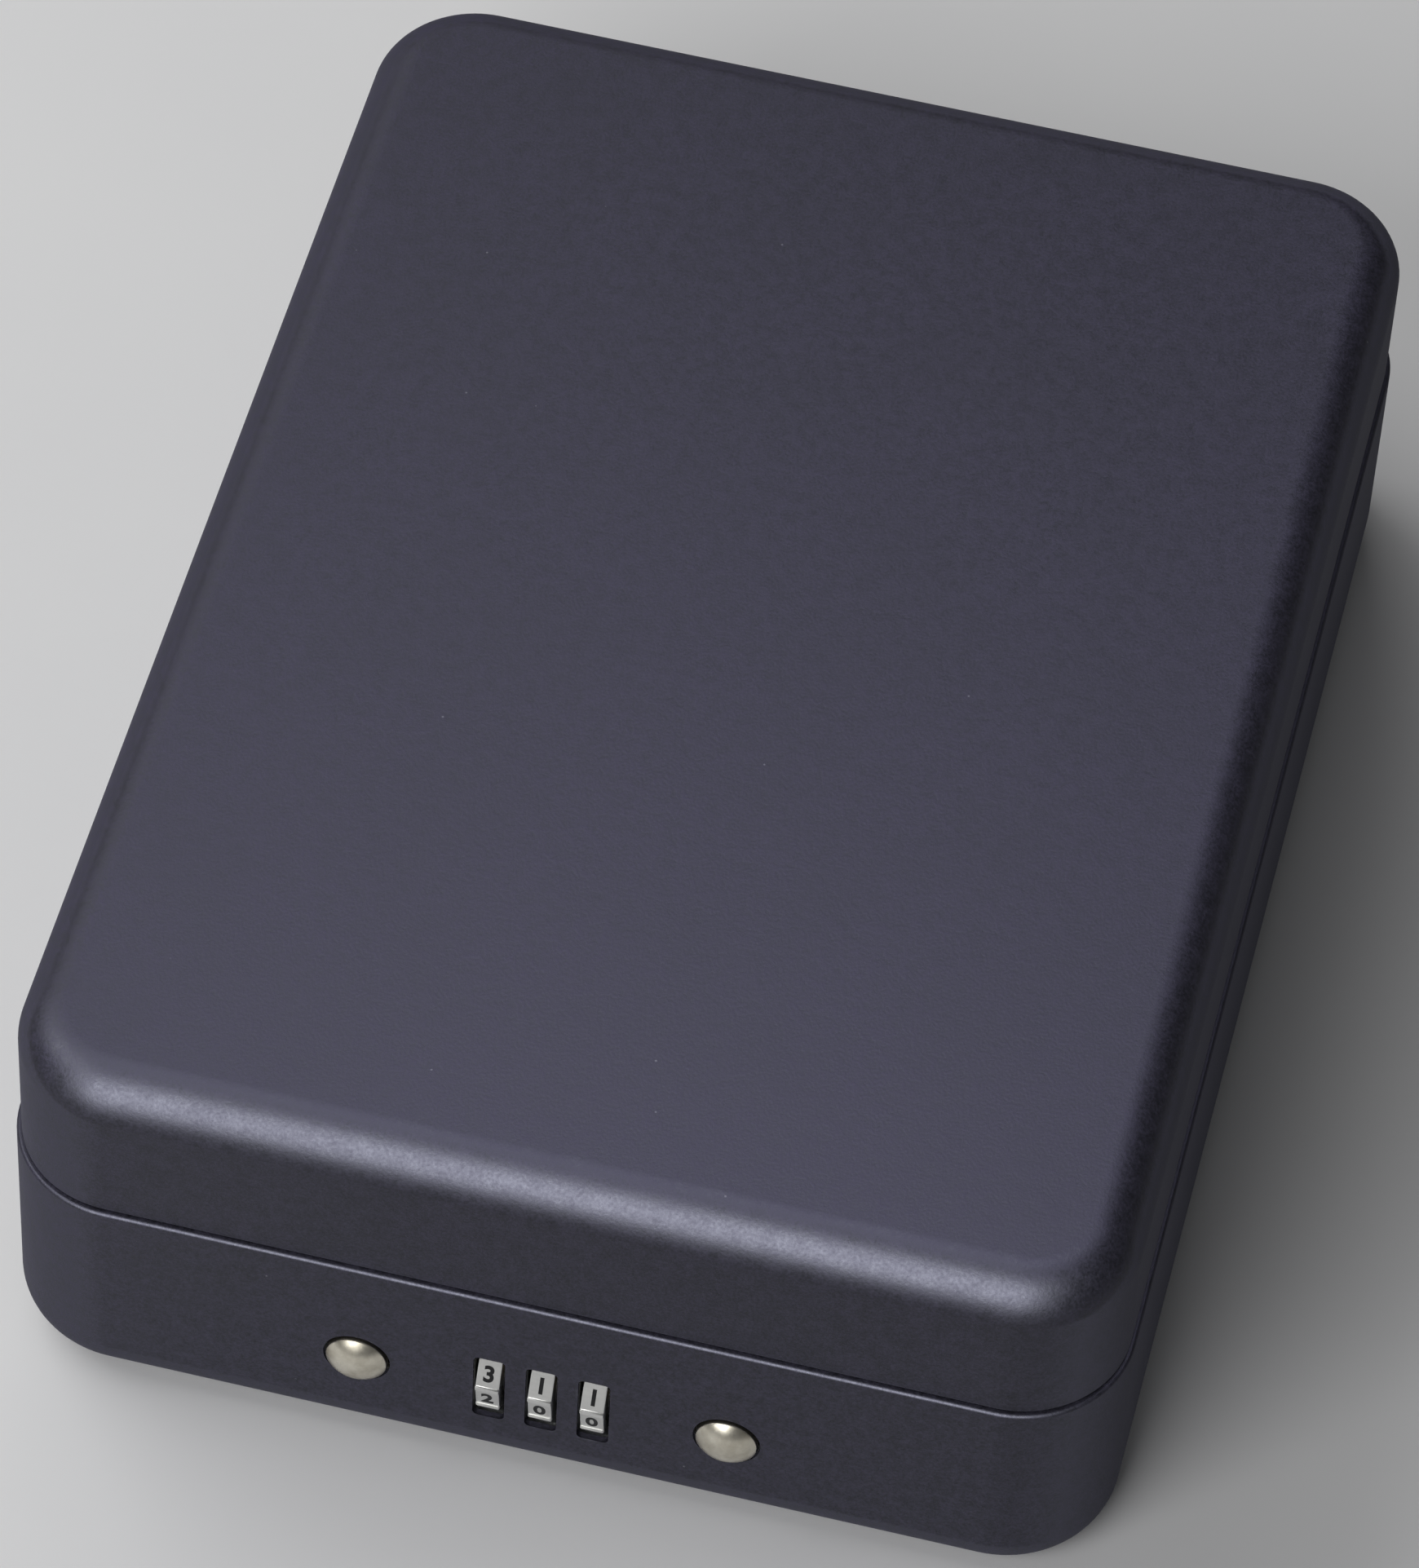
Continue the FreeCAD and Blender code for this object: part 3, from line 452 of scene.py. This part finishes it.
def lid_skin():
    """The drawn lid: rounded lip, upright wall, rounded top edge and a faintly crowned top."""
    edge_z = TOP_Z - CROWN
    flat = LID_INSET + TOP_FILLET
    inner_wall = LID_INSET + SHEET
    inner_r = TOP_FILLET - SHEET
    outer = arc(LID_INSET + LIP_ROUND, SKIRT_Z + LIP_ROUND, LIP_ROUND, 270, 180, 5)
    outer += arc(flat, edge_z - TOP_FILLET, TOP_FILLET, 180, 90, 16)
    inner = arc(inner_wall - LIP_ROUND, SKIRT_Z + LIP_ROUND, LIP_ROUND, 270, 360, 4)
    inner += [(inner_wall, SKIRT_Z + LIP_RING_RISE)]
    inner += arc(flat, edge_z - TOP_FILLET, inner_r, 180, 90, 10)
    outer_cap, outer_tip = cap_rings(flat, lambda x, y: edge_z + lid_height(x, y))
    inner_cap, inner_tip = cap_rings(flat, lambda x, y: edge_z - SHEET + lid_height(x, y))
    rings = list(reversed(inner_cap)) + [plan_ring(inset, z) for inset, z in reversed(inner)]
    rings += [plan_ring(inset, z) for inset, z in outer] + outer_cap
    bm = bmesh.new()
    loft(bm, rings, inner_tip, outer_tip)
    return from_bmesh("lid_skin", bm)


def base_skin():
    """The drawn tray, with its rim folded inward into a hem."""
    floor_inner = BOTTOM_FILLET - SHEET
    hem_z = SEAM_Z - HEM_DEPTH
    outer = arc(BOTTOM_FILLET, BOTTOM_FILLET, BOTTOM_FILLET, 270, 180, 14)
    outer += arc(HEM_ROUND, SEAM_Z - HEM_ROUND, HEM_ROUND, 180, 90, 6)
    inner = arc(HEM_WALL - HEM_ROUND, SEAM_Z - HEM_ROUND, HEM_ROUND, 90, 0, 6)
    inner += arc(HEM_WALL - HEM_EDGE_ROUND, hem_z + HEM_EDGE_ROUND, HEM_EDGE_ROUND, 360, 270, 4)
    inner += [(SHEET + HEM_GAP, hem_z), (SHEET, hem_z - HEM_STEP)]
    inner += [(SHEET, WALL_RING_Z)]
    inner += arc(BOTTOM_FILLET, BOTTOM_FILLET, floor_inner, 180, 270, 10)
    under_cap, under_tip = cap_rings(BOTTOM_FILLET, lambda x, y: 0.0)
    floor_cap, floor_tip = cap_rings(BOTTOM_FILLET, lambda x, y: SHEET)
    rings = list(reversed(under_cap)) + [plan_ring(inset, z) for inset, z in outer + inner] + floor_cap
    bm = bmesh.new()
    loft(bm, rings, under_tip, floor_tip)
    return from_bmesh("base_skin", bm)


FLARE = 0.34
FLARE_STEPS = 5
CUT_LEAD = 1.0
CUT_DEPTH = 3.0
FACE_CLEAR = 0.001
FLARE_CLEAR = 0.02


def flared(name, shape):
    """Cutter through the front wall: shape(grow) gives its outline, which flares at the wall's face."""
    rings = [[(x, FRONT_Y - CUT_LEAD, z) for x, z in shape(FLARE + FLARE_CLEAR)]]
    for grow, sink in arc(FLARE, FLARE, FLARE, 270, 180, FLARE_STEPS):
        rings.append([(x, FRONT_Y - FACE_CLEAR + sink, z) for x, z in shape(FLARE - grow)])
    rings.append([(x, FRONT_Y + CUT_DEPTH, z) for x, z in shape(0.0)])
    bm = bmesh.new()
    layers = loft(bm, rings)
    bm.faces.new(layers[0])
    bm.faces.new(layers[-1])
    return from_bmesh(name, bm)


BUTTON_HOLE_R = 5.4
HOLE_POINTS = 48
SLOT_HALF_W = 2.55
SLOT_HALF_H = 7.65
SLOT_ROUND = 0.9
WHEELS = ("left", "middle", "right")
SIDES = {"left": -1, "right": 1}


def front_cutters():
    """Holes for the buttons and slots for the wheels, each with a rolled-over edge."""
    cutters = []
    for side in SIDES:
        middle = centre_mm("button_" + side)
        cutters.append(flared("hole_" + side, lambda grow, m=middle: [
            (m.x + u, m.z + v) for u, v in arc(0, 0, BUTTON_HOLE_R + grow, 0, 360 - 360 / HOLE_POINTS,
                                               HOLE_POINTS - 1)]))
    for wheel in WHEELS:
        middle = centre_mm("dial_wheel_" + wheel)
        cutters.append(flared("slot_" + wheel, lambda grow, m=middle: [
            (m.x + u, m.z + v) for u, v in outline(SLOT_HALF_W + grow, SLOT_HALF_H + grow,
                                                   SLOT_ROUND + grow, 6)]))
    return cutters


KNUCKLE_R = 2.2
NOTCH_GAP = 0.3
NOTCH_CORNER_R = 0.9
NOTCH_BEHIND = 3
NOTCH_BEYOND = 6
LID_NOTCH_DEPTH = 4.0
BASE_NOTCH_DEPTH = 4.8


def notch_cutter(name, half, low, high, front):
    """Cutter for the hinge's notch in a rear wall, with rounded corners."""
    flat = outline(half, (high - low) / 2, NOTCH_CORNER_R, 5)
    middle = (high + low) / 2
    rings = [[(x, y, middle + z) for x, z in flat] for y in (front, HALF_Y + NOTCH_BEHIND)]
    bm = bmesh.new()
    layers = loft(bm, rings)
    bm.faces.new(layers[0])
    bm.faces.new(layers[1])
    return from_bmesh(name, bm)


pin_end = box_mm("hinge_pin")[1].x
leaf_end = box_mm("hinge_leaf_base")[1].x

lid = lid_skin()
carve(lid, [notch_cutter("lid_notch", pin_end + NOTCH_GAP, SKIRT_Z - NOTCH_BEYOND, SEAM_Z + KNUCKLE_R,
                         HALF_Y - LID_NOTCH_DEPTH)])
smooth(dress(lid, COATING))
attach(lid, "lid")
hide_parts("lid_shell")

base = base_skin()
carve(base, front_cutters() + [notch_cutter("base_notch", leaf_end + NOTCH_GAP, SEAM_Z - KNUCKLE_R,
                                            SEAM_Z + NOTCH_BEYOND, HALF_Y - BASE_NOTCH_DEPTH)])
smooth(dress(base, COATING))
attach(base, "base")
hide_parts("base_shell")


# ------------------------------------------------------------------ buttons

BUTTON_R = 4.9
EDGE_ROUND = 0.35
DOME_RISE = 2.2
DOME_STEPS = 20
EDGE_STEPS = 5
SKIRT_DEPTH = 2.7
SKIRT_CHAMFER = 0.15
NECK_R = 3.0
NECK_LENGTH = 1.2
NECK_CHAMFER = 0.1
GROOVE_R = 2.4
GROOVE_WIDTH = 0.7
STEM_R = 2.0
STEM_CHAMFER = 0.3


def button_piece(side):
    """Domed button with a softened edge, a neck and a long stem."""
    node = "button_" + side
    low, high = box_mm(node)
    middle = (low + high) / 2
    sphere_r = (BUTTON_R ** 2 + DOME_RISE ** 2) / (2 * DOME_RISE)
    sphere_y = low.y + sphere_r
    slope = math.asin((BUTTON_R - EDGE_ROUND) / (sphere_r - EDGE_ROUND))
    edge_y = sphere_y - (sphere_r - EDGE_ROUND) * math.cos(slope)
    profile = []
    for i in range(DOME_STEPS + 1):
        turn = slope * i / DOME_STEPS
        profile.append((sphere_r * math.sin(turn), sphere_y - sphere_r * math.cos(turn)))
    for i in range(1, EDGE_STEPS + 1):
        turn = slope + (math.pi / 2 - slope) * i / EDGE_STEPS
        profile.append((BUTTON_R - EDGE_ROUND + EDGE_ROUND * math.sin(turn),
                        edge_y - EDGE_ROUND * math.cos(turn)))
    neck_y = FRONT_Y + SKIRT_DEPTH
    groove_y = neck_y + NECK_LENGTH
    collar_y = groove_y + NECK_LENGTH
    profile += [(BUTTON_R, neck_y - SKIRT_CHAMFER), (BUTTON_R - SKIRT_CHAMFER, neck_y),
                (NECK_R, neck_y), (NECK_R, groove_y), (GROOVE_R, groove_y),
                (GROOVE_R, groove_y + GROOVE_WIDTH), (NECK_R, groove_y + GROOVE_WIDTH),
                (NECK_R, collar_y - NECK_CHAMFER), (NECK_R - NECK_CHAMFER, collar_y), (STEM_R, collar_y),
                (STEM_R, high.y - STEM_CHAMFER), (STEM_R - STEM_CHAMFER, high.y), (0, high.y)]
    piece = turned("push_" + side, profile, middle.x, middle.z)
    smooth(dress(piece, NICKEL))
    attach(piece, "release")
    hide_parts(node)


for side_name in SIDES:
    button_piece(side_name)


# ------------------------------------------------------------------ dial wheels

FLAT_R = 8.95
FLAT_HALF = 2.5
FLAT_INNER = 0.8
FLAT_EDGE = 0.12
FLAT_TURN = 0.06
FLAT_TURN_EDGE = 0.02
RIDGE_R = 9.6
RIDGE_CHAMFER = 0.14
POSITIONS = 10
STEP = 360 / POSITIONS
FLAT_PHASE = -10
DIGIT_HEIGHT = 3.0
DIGIT_PROUD = 0.03
SHOWN = {"left": 2, "middle": 0, "right": 0}
BORE_R = 3.05
HUB_R = 6.5
HUB_CHAMFER = 0.1
HUB_RISE = 0.15
RIM_ROUND = 0.30
RIM_ROUND_STEP = 0.09
FIGURE_THICK = 0.012
FIGURE_BOLD = 0.032


def wheel_outline(shrink):
    """The wheel's ten flats and ten ridges, as (forward, up) points about its centre."""
    flat_r = FLAT_R - shrink
    ridge_r = RIDGE_R - shrink
    half = FLAT_HALF
    rise = math.sqrt(ridge_r ** 2 - half ** 2)
    points = []
    for index in range(POSITIONS):
        turn = math.radians(FLAT_PHASE + STEP * index)
        local = [(flat_r, -half + FLAT_EDGE), (flat_r, -FLAT_INNER), (flat_r, FLAT_INNER),
                 (flat_r, half - FLAT_EDGE), (flat_r + FLAT_TURN, half - FLAT_TURN_EDGE),
                 (rise - RIDGE_CHAMFER, half)]
        first = math.atan2(half, rise) + RIDGE_CHAMFER / ridge_r
        last = math.radians(STEP) - first
        for i in range(4):
            angle = first + (last - first) * i / 3
            local.append((ridge_r * math.cos(angle), ridge_r * math.sin(angle)))
        far = math.radians(STEP)
        for r, u in ((rise - RIDGE_CHAMFER, -half), (flat_r + FLAT_TURN, -half + FLAT_TURN_EDGE)):
            local.append((r * math.cos(far) - u * math.sin(far), r * math.sin(far) + u * math.cos(far)))
        for r, u in local:
            points.append((r * math.cos(turn) - u * math.sin(turn),
                           r * math.sin(turn) + u * math.cos(turn)))
    return points


def circle_like(points, radius):
    """A circle with one point beside each of the given ones."""
    ring = []
    for forward, up in points:
        length = math.hypot(forward, up)
        ring.append((forward * radius / length, up * radius / length))
    return ring


def wheel_piece(wheel):
    """Dial wheel with softened rims, a raised hub on each side and its bore."""
    node = "dial_wheel_" + wheel
    low, high = box_mm(node)
    middle = (low + high) / 2
    half = (high.x - low.x) / 2
    rim_half = half - HUB_RISE
    edge = wheel_outline(0)
    rows = [(rim_half - RIM_ROUND, edge), (rim_half - RIM_ROUND_STEP, wheel_outline(RIM_ROUND_STEP)),
            (rim_half, wheel_outline(RIM_ROUND)), (rim_half, circle_like(edge, HUB_R)),
            (half, circle_like(edge, HUB_R - HUB_CHAMFER)),
            (half, circle_like(edge, HUB_R - 2 * HUB_CHAMFER)), (half, circle_like(edge, BORE_R))]
    right = [[(middle.x + x, middle.y - f, middle.z + u) for f, u in ring] for x, ring in rows]
    left = [[(middle.x - x, middle.y - f, middle.z + u) for f, u in ring] for x, ring in rows]
    bm = bmesh.new()
    loft(bm, list(reversed(left)) + right, closed=True)
    piece = from_bmesh("wheel_" + wheel, bm)
    smooth(dress(piece, DIAL), 24)
    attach(piece, "dial_" + wheel)
    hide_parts(node)
    return middle


def figure_mesh(figure):
    """A digit's outline as a thin flat mesh, centred, in millimetres: X right and Y up."""
    text = bpy.data.curves.new("figure", "FONT")
    text.body = str(figure)
    text.align_x = "CENTER"
    text.align_y = "CENTER"
    text.offset = FIGURE_BOLD
    text.extrude = FIGURE_THICK
    text.resolution_u = 8
    holder = to_object("figure", text)
    bpy.context.view_layer.update()
    graph = bpy.context.evaluated_depsgraph_get()
    mesh = bpy.data.meshes.new_from_object(holder.evaluated_get(graph))
    bpy.data.objects.remove(holder)
    return mesh


def figures_piece(wheel, middle):
    """The ten digits on a wheel's flats, as one mesh."""
    bm = bmesh.new()
    for index in range(POSITIONS):
        figure = (SHOWN[wheel] + index) % POSITIONS
        mesh = figure_mesh(figure)
        xs = [v.co.x for v in mesh.vertices]
        ys = [v.co.y for v in mesh.vertices]
        size = DIGIT_HEIGHT / (max(ys) - min(ys))
        centre = Vector(((max(xs) + min(xs)) / 2, (max(ys) + min(ys)) / 2, 0))
        flatten = Matrix.Diagonal((size, size, 1.0, 1.0)) @ Matrix.Translation(-centre)
        stand = Matrix(((1, 0, 0, 0), (0, 0, -1, -FLAT_R), (0, 1, 0, 0), (0, 0, 0, 1)))
        thin = Matrix.Translation((0, 0, DIGIT_PROUD - FIGURE_THICK))
        turn = Matrix.Rotation(-math.radians(FLAT_PHASE + STEP * index), 4, "X")
        mesh.transform(Matrix.Translation(middle) @ turn @ stand @ thin @ flatten)
        bm.from_mesh(mesh)
        bpy.data.meshes.remove(mesh)
    bmesh.ops.remove_doubles(bm, verts=bm.verts, dist=0.0005)
    piece = from_bmesh("figures_" + wheel, bm)
    dress(piece, INK)
    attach(piece, "dial_" + wheel)


for wheel_name in WHEELS:
    figures_piece(wheel_name, wheel_piece(wheel_name))


# ------------------------------------------------------------------ foam

def slab_grid(low, high, corner, pitch):
    """Grid points over a rounded rectangle: the cells at its corners are drawn in to the arc."""
    count_x = max(int((high.x - low.x) / pitch), 4)
    count_y = max(int((high.y - low.y) / pitch), 4)
    half_x = (high.x - low.x) / 2
    half_y = (high.y - low.y) / 2
    rows = []
    for j in range(count_y + 1):
        row = []
        for i in range(count_x + 1):
            x = -half_x + 2 * half_x * i / count_x
            y = -half_y + 2 * half_y * j / count_y
            over_x = abs(x) - (half_x - corner)
            over_y = abs(y) - (half_y - corner)
            if over_x > 0 and over_y > 0:
                reach = max(over_x, over_y) / math.hypot(over_x, over_y)
                x = math.copysign(half_x - corner + over_x * reach, x)
                y = math.copysign(half_y - corner + over_y * reach, y)
            row.append((x, y))
        rows.append(row)
    return rows


PAD_RIM = 3.0


def pad_sides(layer):
    """A grid's outer points in order round its edge."""
    return (layer[0] + [row[-1] for row in layer[1:]] + layer[-1][-2::-1]
            + [row[0] for row in layer[-2:0:-1]])


def foam_piece(name, node, body, corner, pitch, skin_z, back_z, relief):
    """A pad: relief(x, y, rim) moves its free face, where rim is 0 at the pad's edge and 1 inside."""
    low, high = box_mm(node)
    rows = slab_grid(low, high, corner, pitch)
    half_x = (high.x - low.x) / 2
    half_y = (high.y - low.y) / 2
    bm = bmesh.new()
    faces = []
    for free in (True, False):
        layer = []
        for row in rows:
            made = []
            for x, y in row:
                rim = min(1.0, (half_x - abs(x)) / PAD_RIM, (half_y - abs(y)) / PAD_RIM)
                z = skin_z + relief(x, y, rim) if free else back_z
                made.append(bm.verts.new((x, y, z)))
            layer.append(made)
        faces.append(layer)
    for layer in faces:
        for one, two in zip(layer, layer[1:]):
            for i in range(len(one) - 1):
                bm.faces.new((one[i], one[i + 1], two[i + 1], two[i]))
    top, bottom = faces
    rim_top = pad_sides(top)
    rim_low = pad_sides(bottom)
    for i in range(len(rim_top)):
        j = (i + 1) % len(rim_top)
        bm.faces.new((rim_top[i], rim_top[j], rim_low[j], rim_low[i]))
    piece = from_bmesh(name, bm)
    smooth(dress(piece, FOAM), 60)
    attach(piece, body)
    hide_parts(node)


EGG_PITCH = 11.0
EGG_DEPTH = 3.4
EGG_EDGE = 1.6
EGG_EDGE_LIMIT = 1.4
TOP_EDGE = 0.9
TOP_SINK = 0.16


def rolled(depth, rim):
    """How far a pad's edge falls away: depth at the edge itself and 0 from PAD_RIM inwards."""
    return depth * (1 - math.sqrt(max(0.0, 1 - (1 - max(rim, 0)) ** 2)))


def egg_crate(x, y, rim):
    """Rows of soft peaks that hang from the lid's pad."""
    wave = math.sin(math.pi * x / EGG_PITCH) * math.sin(math.pi * y / EGG_PITCH)
    lift = EGG_DEPTH * (0.5 - 0.5 * wave)
    return min(lift + rolled(EGG_EDGE, rim), EGG_DEPTH + EGG_EDGE_LIMIT)


def soft_top(x, y, rim):
    """A nearly flat top that dips a little at its edge and where things have lain."""
    wave = 0.10 * math.sin(x / 19.0 + 0.7) * math.cos(y / 27.0)
    ripple = 0.05 * math.sin(x / 7.3) * math.sin(y / 8.9 + 1)
    return wave + ripple - TOP_SINK - rolled(TOP_EDGE, rim)


lid_pad_low, lid_pad_high = box_mm("lid_foam_liner")
base_pad_low, base_pad_high = box_mm("base_foam_liner")
foam_piece("lid_pad", "lid_foam_liner", "lid", 8.0, 1.35, lid_pad_low.z, lid_pad_high.z - CROWN, egg_crate)
foam_piece("base_pad", "base_foam_liner", "base", 9.0, 2.6, base_pad_high.z, base_pad_low.z, soft_top)


# ------------------------------------------------------------------ CAD pieces that stay

WELD_DISTANCE = 2e-6
FLAT_ANGLE = 0.6
EDGE_ANGLE = 38


def soften(obj, width):
    """Rounds a CAD node's sharp edges a little, with modifiers only."""
    weld = obj.modifiers.new("weld", "WELD")
    weld.merge_threshold = WELD_DISTANCE
    flat = obj.modifiers.new("flat", "DECIMATE")
    flat.decimate_type = "DISSOLVE"
    flat.angle_limit = math.radians(FLAT_ANGLE)
    bevel = obj.modifiers.new("soft_edges", "BEVEL")
    bevel.width = width * MM
    bevel.segments = 2
    bevel.limit_method = "ANGLE"
    bevel.angle_limit = math.radians(EDGE_ANGLE)
    bevel.harden_normals = True
    bevel.use_clamp_overlap = True
    weighted = obj.modifiers.new("weighted", "WEIGHTED_NORMAL")
    weighted.mode = "FACE_AREA_WITH_ANGLE"


# Each CAD node that stays: its material, the record's slot, and its edges' rounding in millimetres.
KEPT = {
    "rim_liner": (LINER_COATING, "liner_coating", 0.12),
    "hinge_leaf_base": (HINGE_COATING, "hinge_steel", 0.12),
    "hinge_leaf_lid": (HINGE_COATING, "hinge_steel", 0.12),
    "hinge_pin": (PIN, "pin_steel", 0),
    "lock_case": (ZINC, "plated_steel", 0.12),
    "lock_cover_plate": (ZINC, "plated_steel", 0.12),
    "cover_screws": (FASTENER, "fastener_steel", 0),
    "case_studs": (FASTENER, "fastener_steel", 0.1),
    "case_nuts": (FASTENER, "fastener_steel", 0.12),
    "guide_bracket_left": (ZINC, "plated_steel", 0.12),
    "guide_bracket_right": (ZINC, "plated_steel", 0.12),
    "button_clips": (SPRING, "spring_steel", 0),
    "release_yoke": (ZINC, "plated_steel", 0.12),
    "latch_bar": (ZINC, "plated_steel", 0.15),
    "striker_left": (ZINC, "plated_steel", 0.15),
    "striker_right": (ZINC, "plated_steel", 0.15),
    "dial_frame": (ZINC, "plated_steel", 0.12),
    "dial_detent_spring": (SPRING, "spring_steel", 0),
    "dial_shaft": (PIN, "pin_steel", 0),
    "shaft_clips": (SPRING, "spring_steel", 0),
    "reset_lever": (ZINC, "plated_steel", 0.12),
    "code_sleeve_left": (BRASS, "sleeve_brass", 0.08),
    "code_sleeve_middle": (BRASS, "sleeve_brass", 0.08),
    "code_sleeve_right": (BRASS, "sleeve_brass", 0.08),
}
for node_name, (material, slot_name, width) in KEPT.items():
    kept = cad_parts[node_name]
    dress(kept, material)
    if width:
        soften(kept, width)


# ------------------------------------------------------------------ coil springs

def coil_piece(node):
    """A coil spring: a smooth-shaded copy of its CAD node in spring steel."""
    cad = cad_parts[node]
    mesh = cad.data.copy()
    mesh.transform(cad.matrix_world)
    piece = to_object("coil_" + node, mesh)
    mesh.shade_smooth()
    dress(piece, SPRING)
    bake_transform(piece)
    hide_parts(node)


for side_name in SIDES:
    coil_piece("button_spring_" + side_name)
    coil_piece("latch_spring_" + side_name)


# ------------------------------------------------------------------ floor, light and camera

FLOOR_HALF = 6000
FLOOR_Z = -0.02

floor = from_parts("floor", [(-FLOOR_HALF, -FLOOR_HALF, FLOOR_Z), (FLOOR_HALF, -FLOOR_HALF, FLOOR_Z),
                             (FLOOR_HALF, FLOOR_HALF, FLOOR_Z), (-FLOOR_HALF, FLOOR_HALF, FLOOR_Z)],
                   [(0, 1, 2, 3)])
floor.data.materials.append(paper_floor("pale_board"))

LIGHT_AIM = Vector((0, 0, 0.037))


def soft_light(name, azimuth, elevation, distance, width, height, power, colour=(1, 1, 1)):
    """A rectangular light that faces the box. Azimuth 0 is in front of it and 90 is to its right."""
    turn = math.radians(azimuth)
    lift = math.radians(elevation)
    away = Vector((math.sin(turn) * math.cos(lift), -math.cos(turn) * math.cos(lift), math.sin(lift)))
    data = bpy.data.lights.new(name, "AREA")
    data.shape = "RECTANGLE"
    data.size = width
    data.size_y = height
    data.energy = power
    data.color = colour
    lamp = to_object(name, data)
    lamp.location = LIGHT_AIM + away * distance
    lamp.rotation_euler = (-away).to_track_quat("-Z", "Y").to_euler()
    lamp.visible_camera = False
    return lamp


coated = bpy.data.collections.new("coated")
for piece in (lid, base):
    coated.objects.link(piece)


def sheen_light(*settings):
    """A light that only the gloss of the two shells picks up, so that it doesn't flood the floor."""
    lamp = soft_light(*settings)
    lamp.visible_diffuse = False
    lamp.light_linking.receiver_collection = coated


sheen_light("front_sheen", -4, 32, 1.6, 1.25, 1.5, 122)
sheen_light("left_sheen", -75, 50, 1.6, 0.7, 0.7, 17)
sheen_light("back_sheen", 182, 80, 0.75, 0.55, 0.42, 5.6, (0.99, 0.97, 1.12))
soft_light("front_soft", -20, 36, 1.6, 1.0, 0.9, 12)
soft_light("left_soft", -105, 42, 1.7, 1.5, 1.1, 15)
soft_light("back_soft", 208, 36, 1.7, 1.0, 0.8, 4)

world = bpy.data.worlds.new("studio")
bpy.context.scene.world = world
world.use_nodes = True
background = world.node_tree.nodes["Background"]
background.inputs["Color"].default_value = (0.92, 0.93, 0.95, 1)
background.inputs["Strength"].default_value = 0.10
bpy.context.scene.view_settings.view_transform = "Standard"

CAMERA_AZIMUTH = 11.177
CAMERA_ELEVATION = 50.981
CAMERA_ROLL = 3.411
CAMERA_DISTANCE = 1.35136
CAMERA_AIM = Vector((-0.00154, -0.00789, 0.0368))
LENS = 191.11

camera_data = bpy.data.cameras.new("camera")
camera_data.sensor_fit = "AUTO"
camera_data.sensor_width = 36
camera_data.lens = LENS
camera_data.clip_end = 50
camera = to_object("camera", camera_data)
swing = math.radians(CAMERA_AZIMUTH)
rise = math.radians(CAMERA_ELEVATION)
outward = Vector((math.sin(swing) * math.cos(rise), -math.cos(swing) * math.cos(rise),
                  math.sin(rise)))
camera.location = CAMERA_AIM + outward * CAMERA_DISTANCE
facing = (-outward).to_track_quat("-Z", "Y").to_matrix()
camera.rotation_euler = (facing @ Euler((0, 0, math.radians(CAMERA_ROLL))).to_matrix()).to_euler()
bpy.context.scene.camera = camera
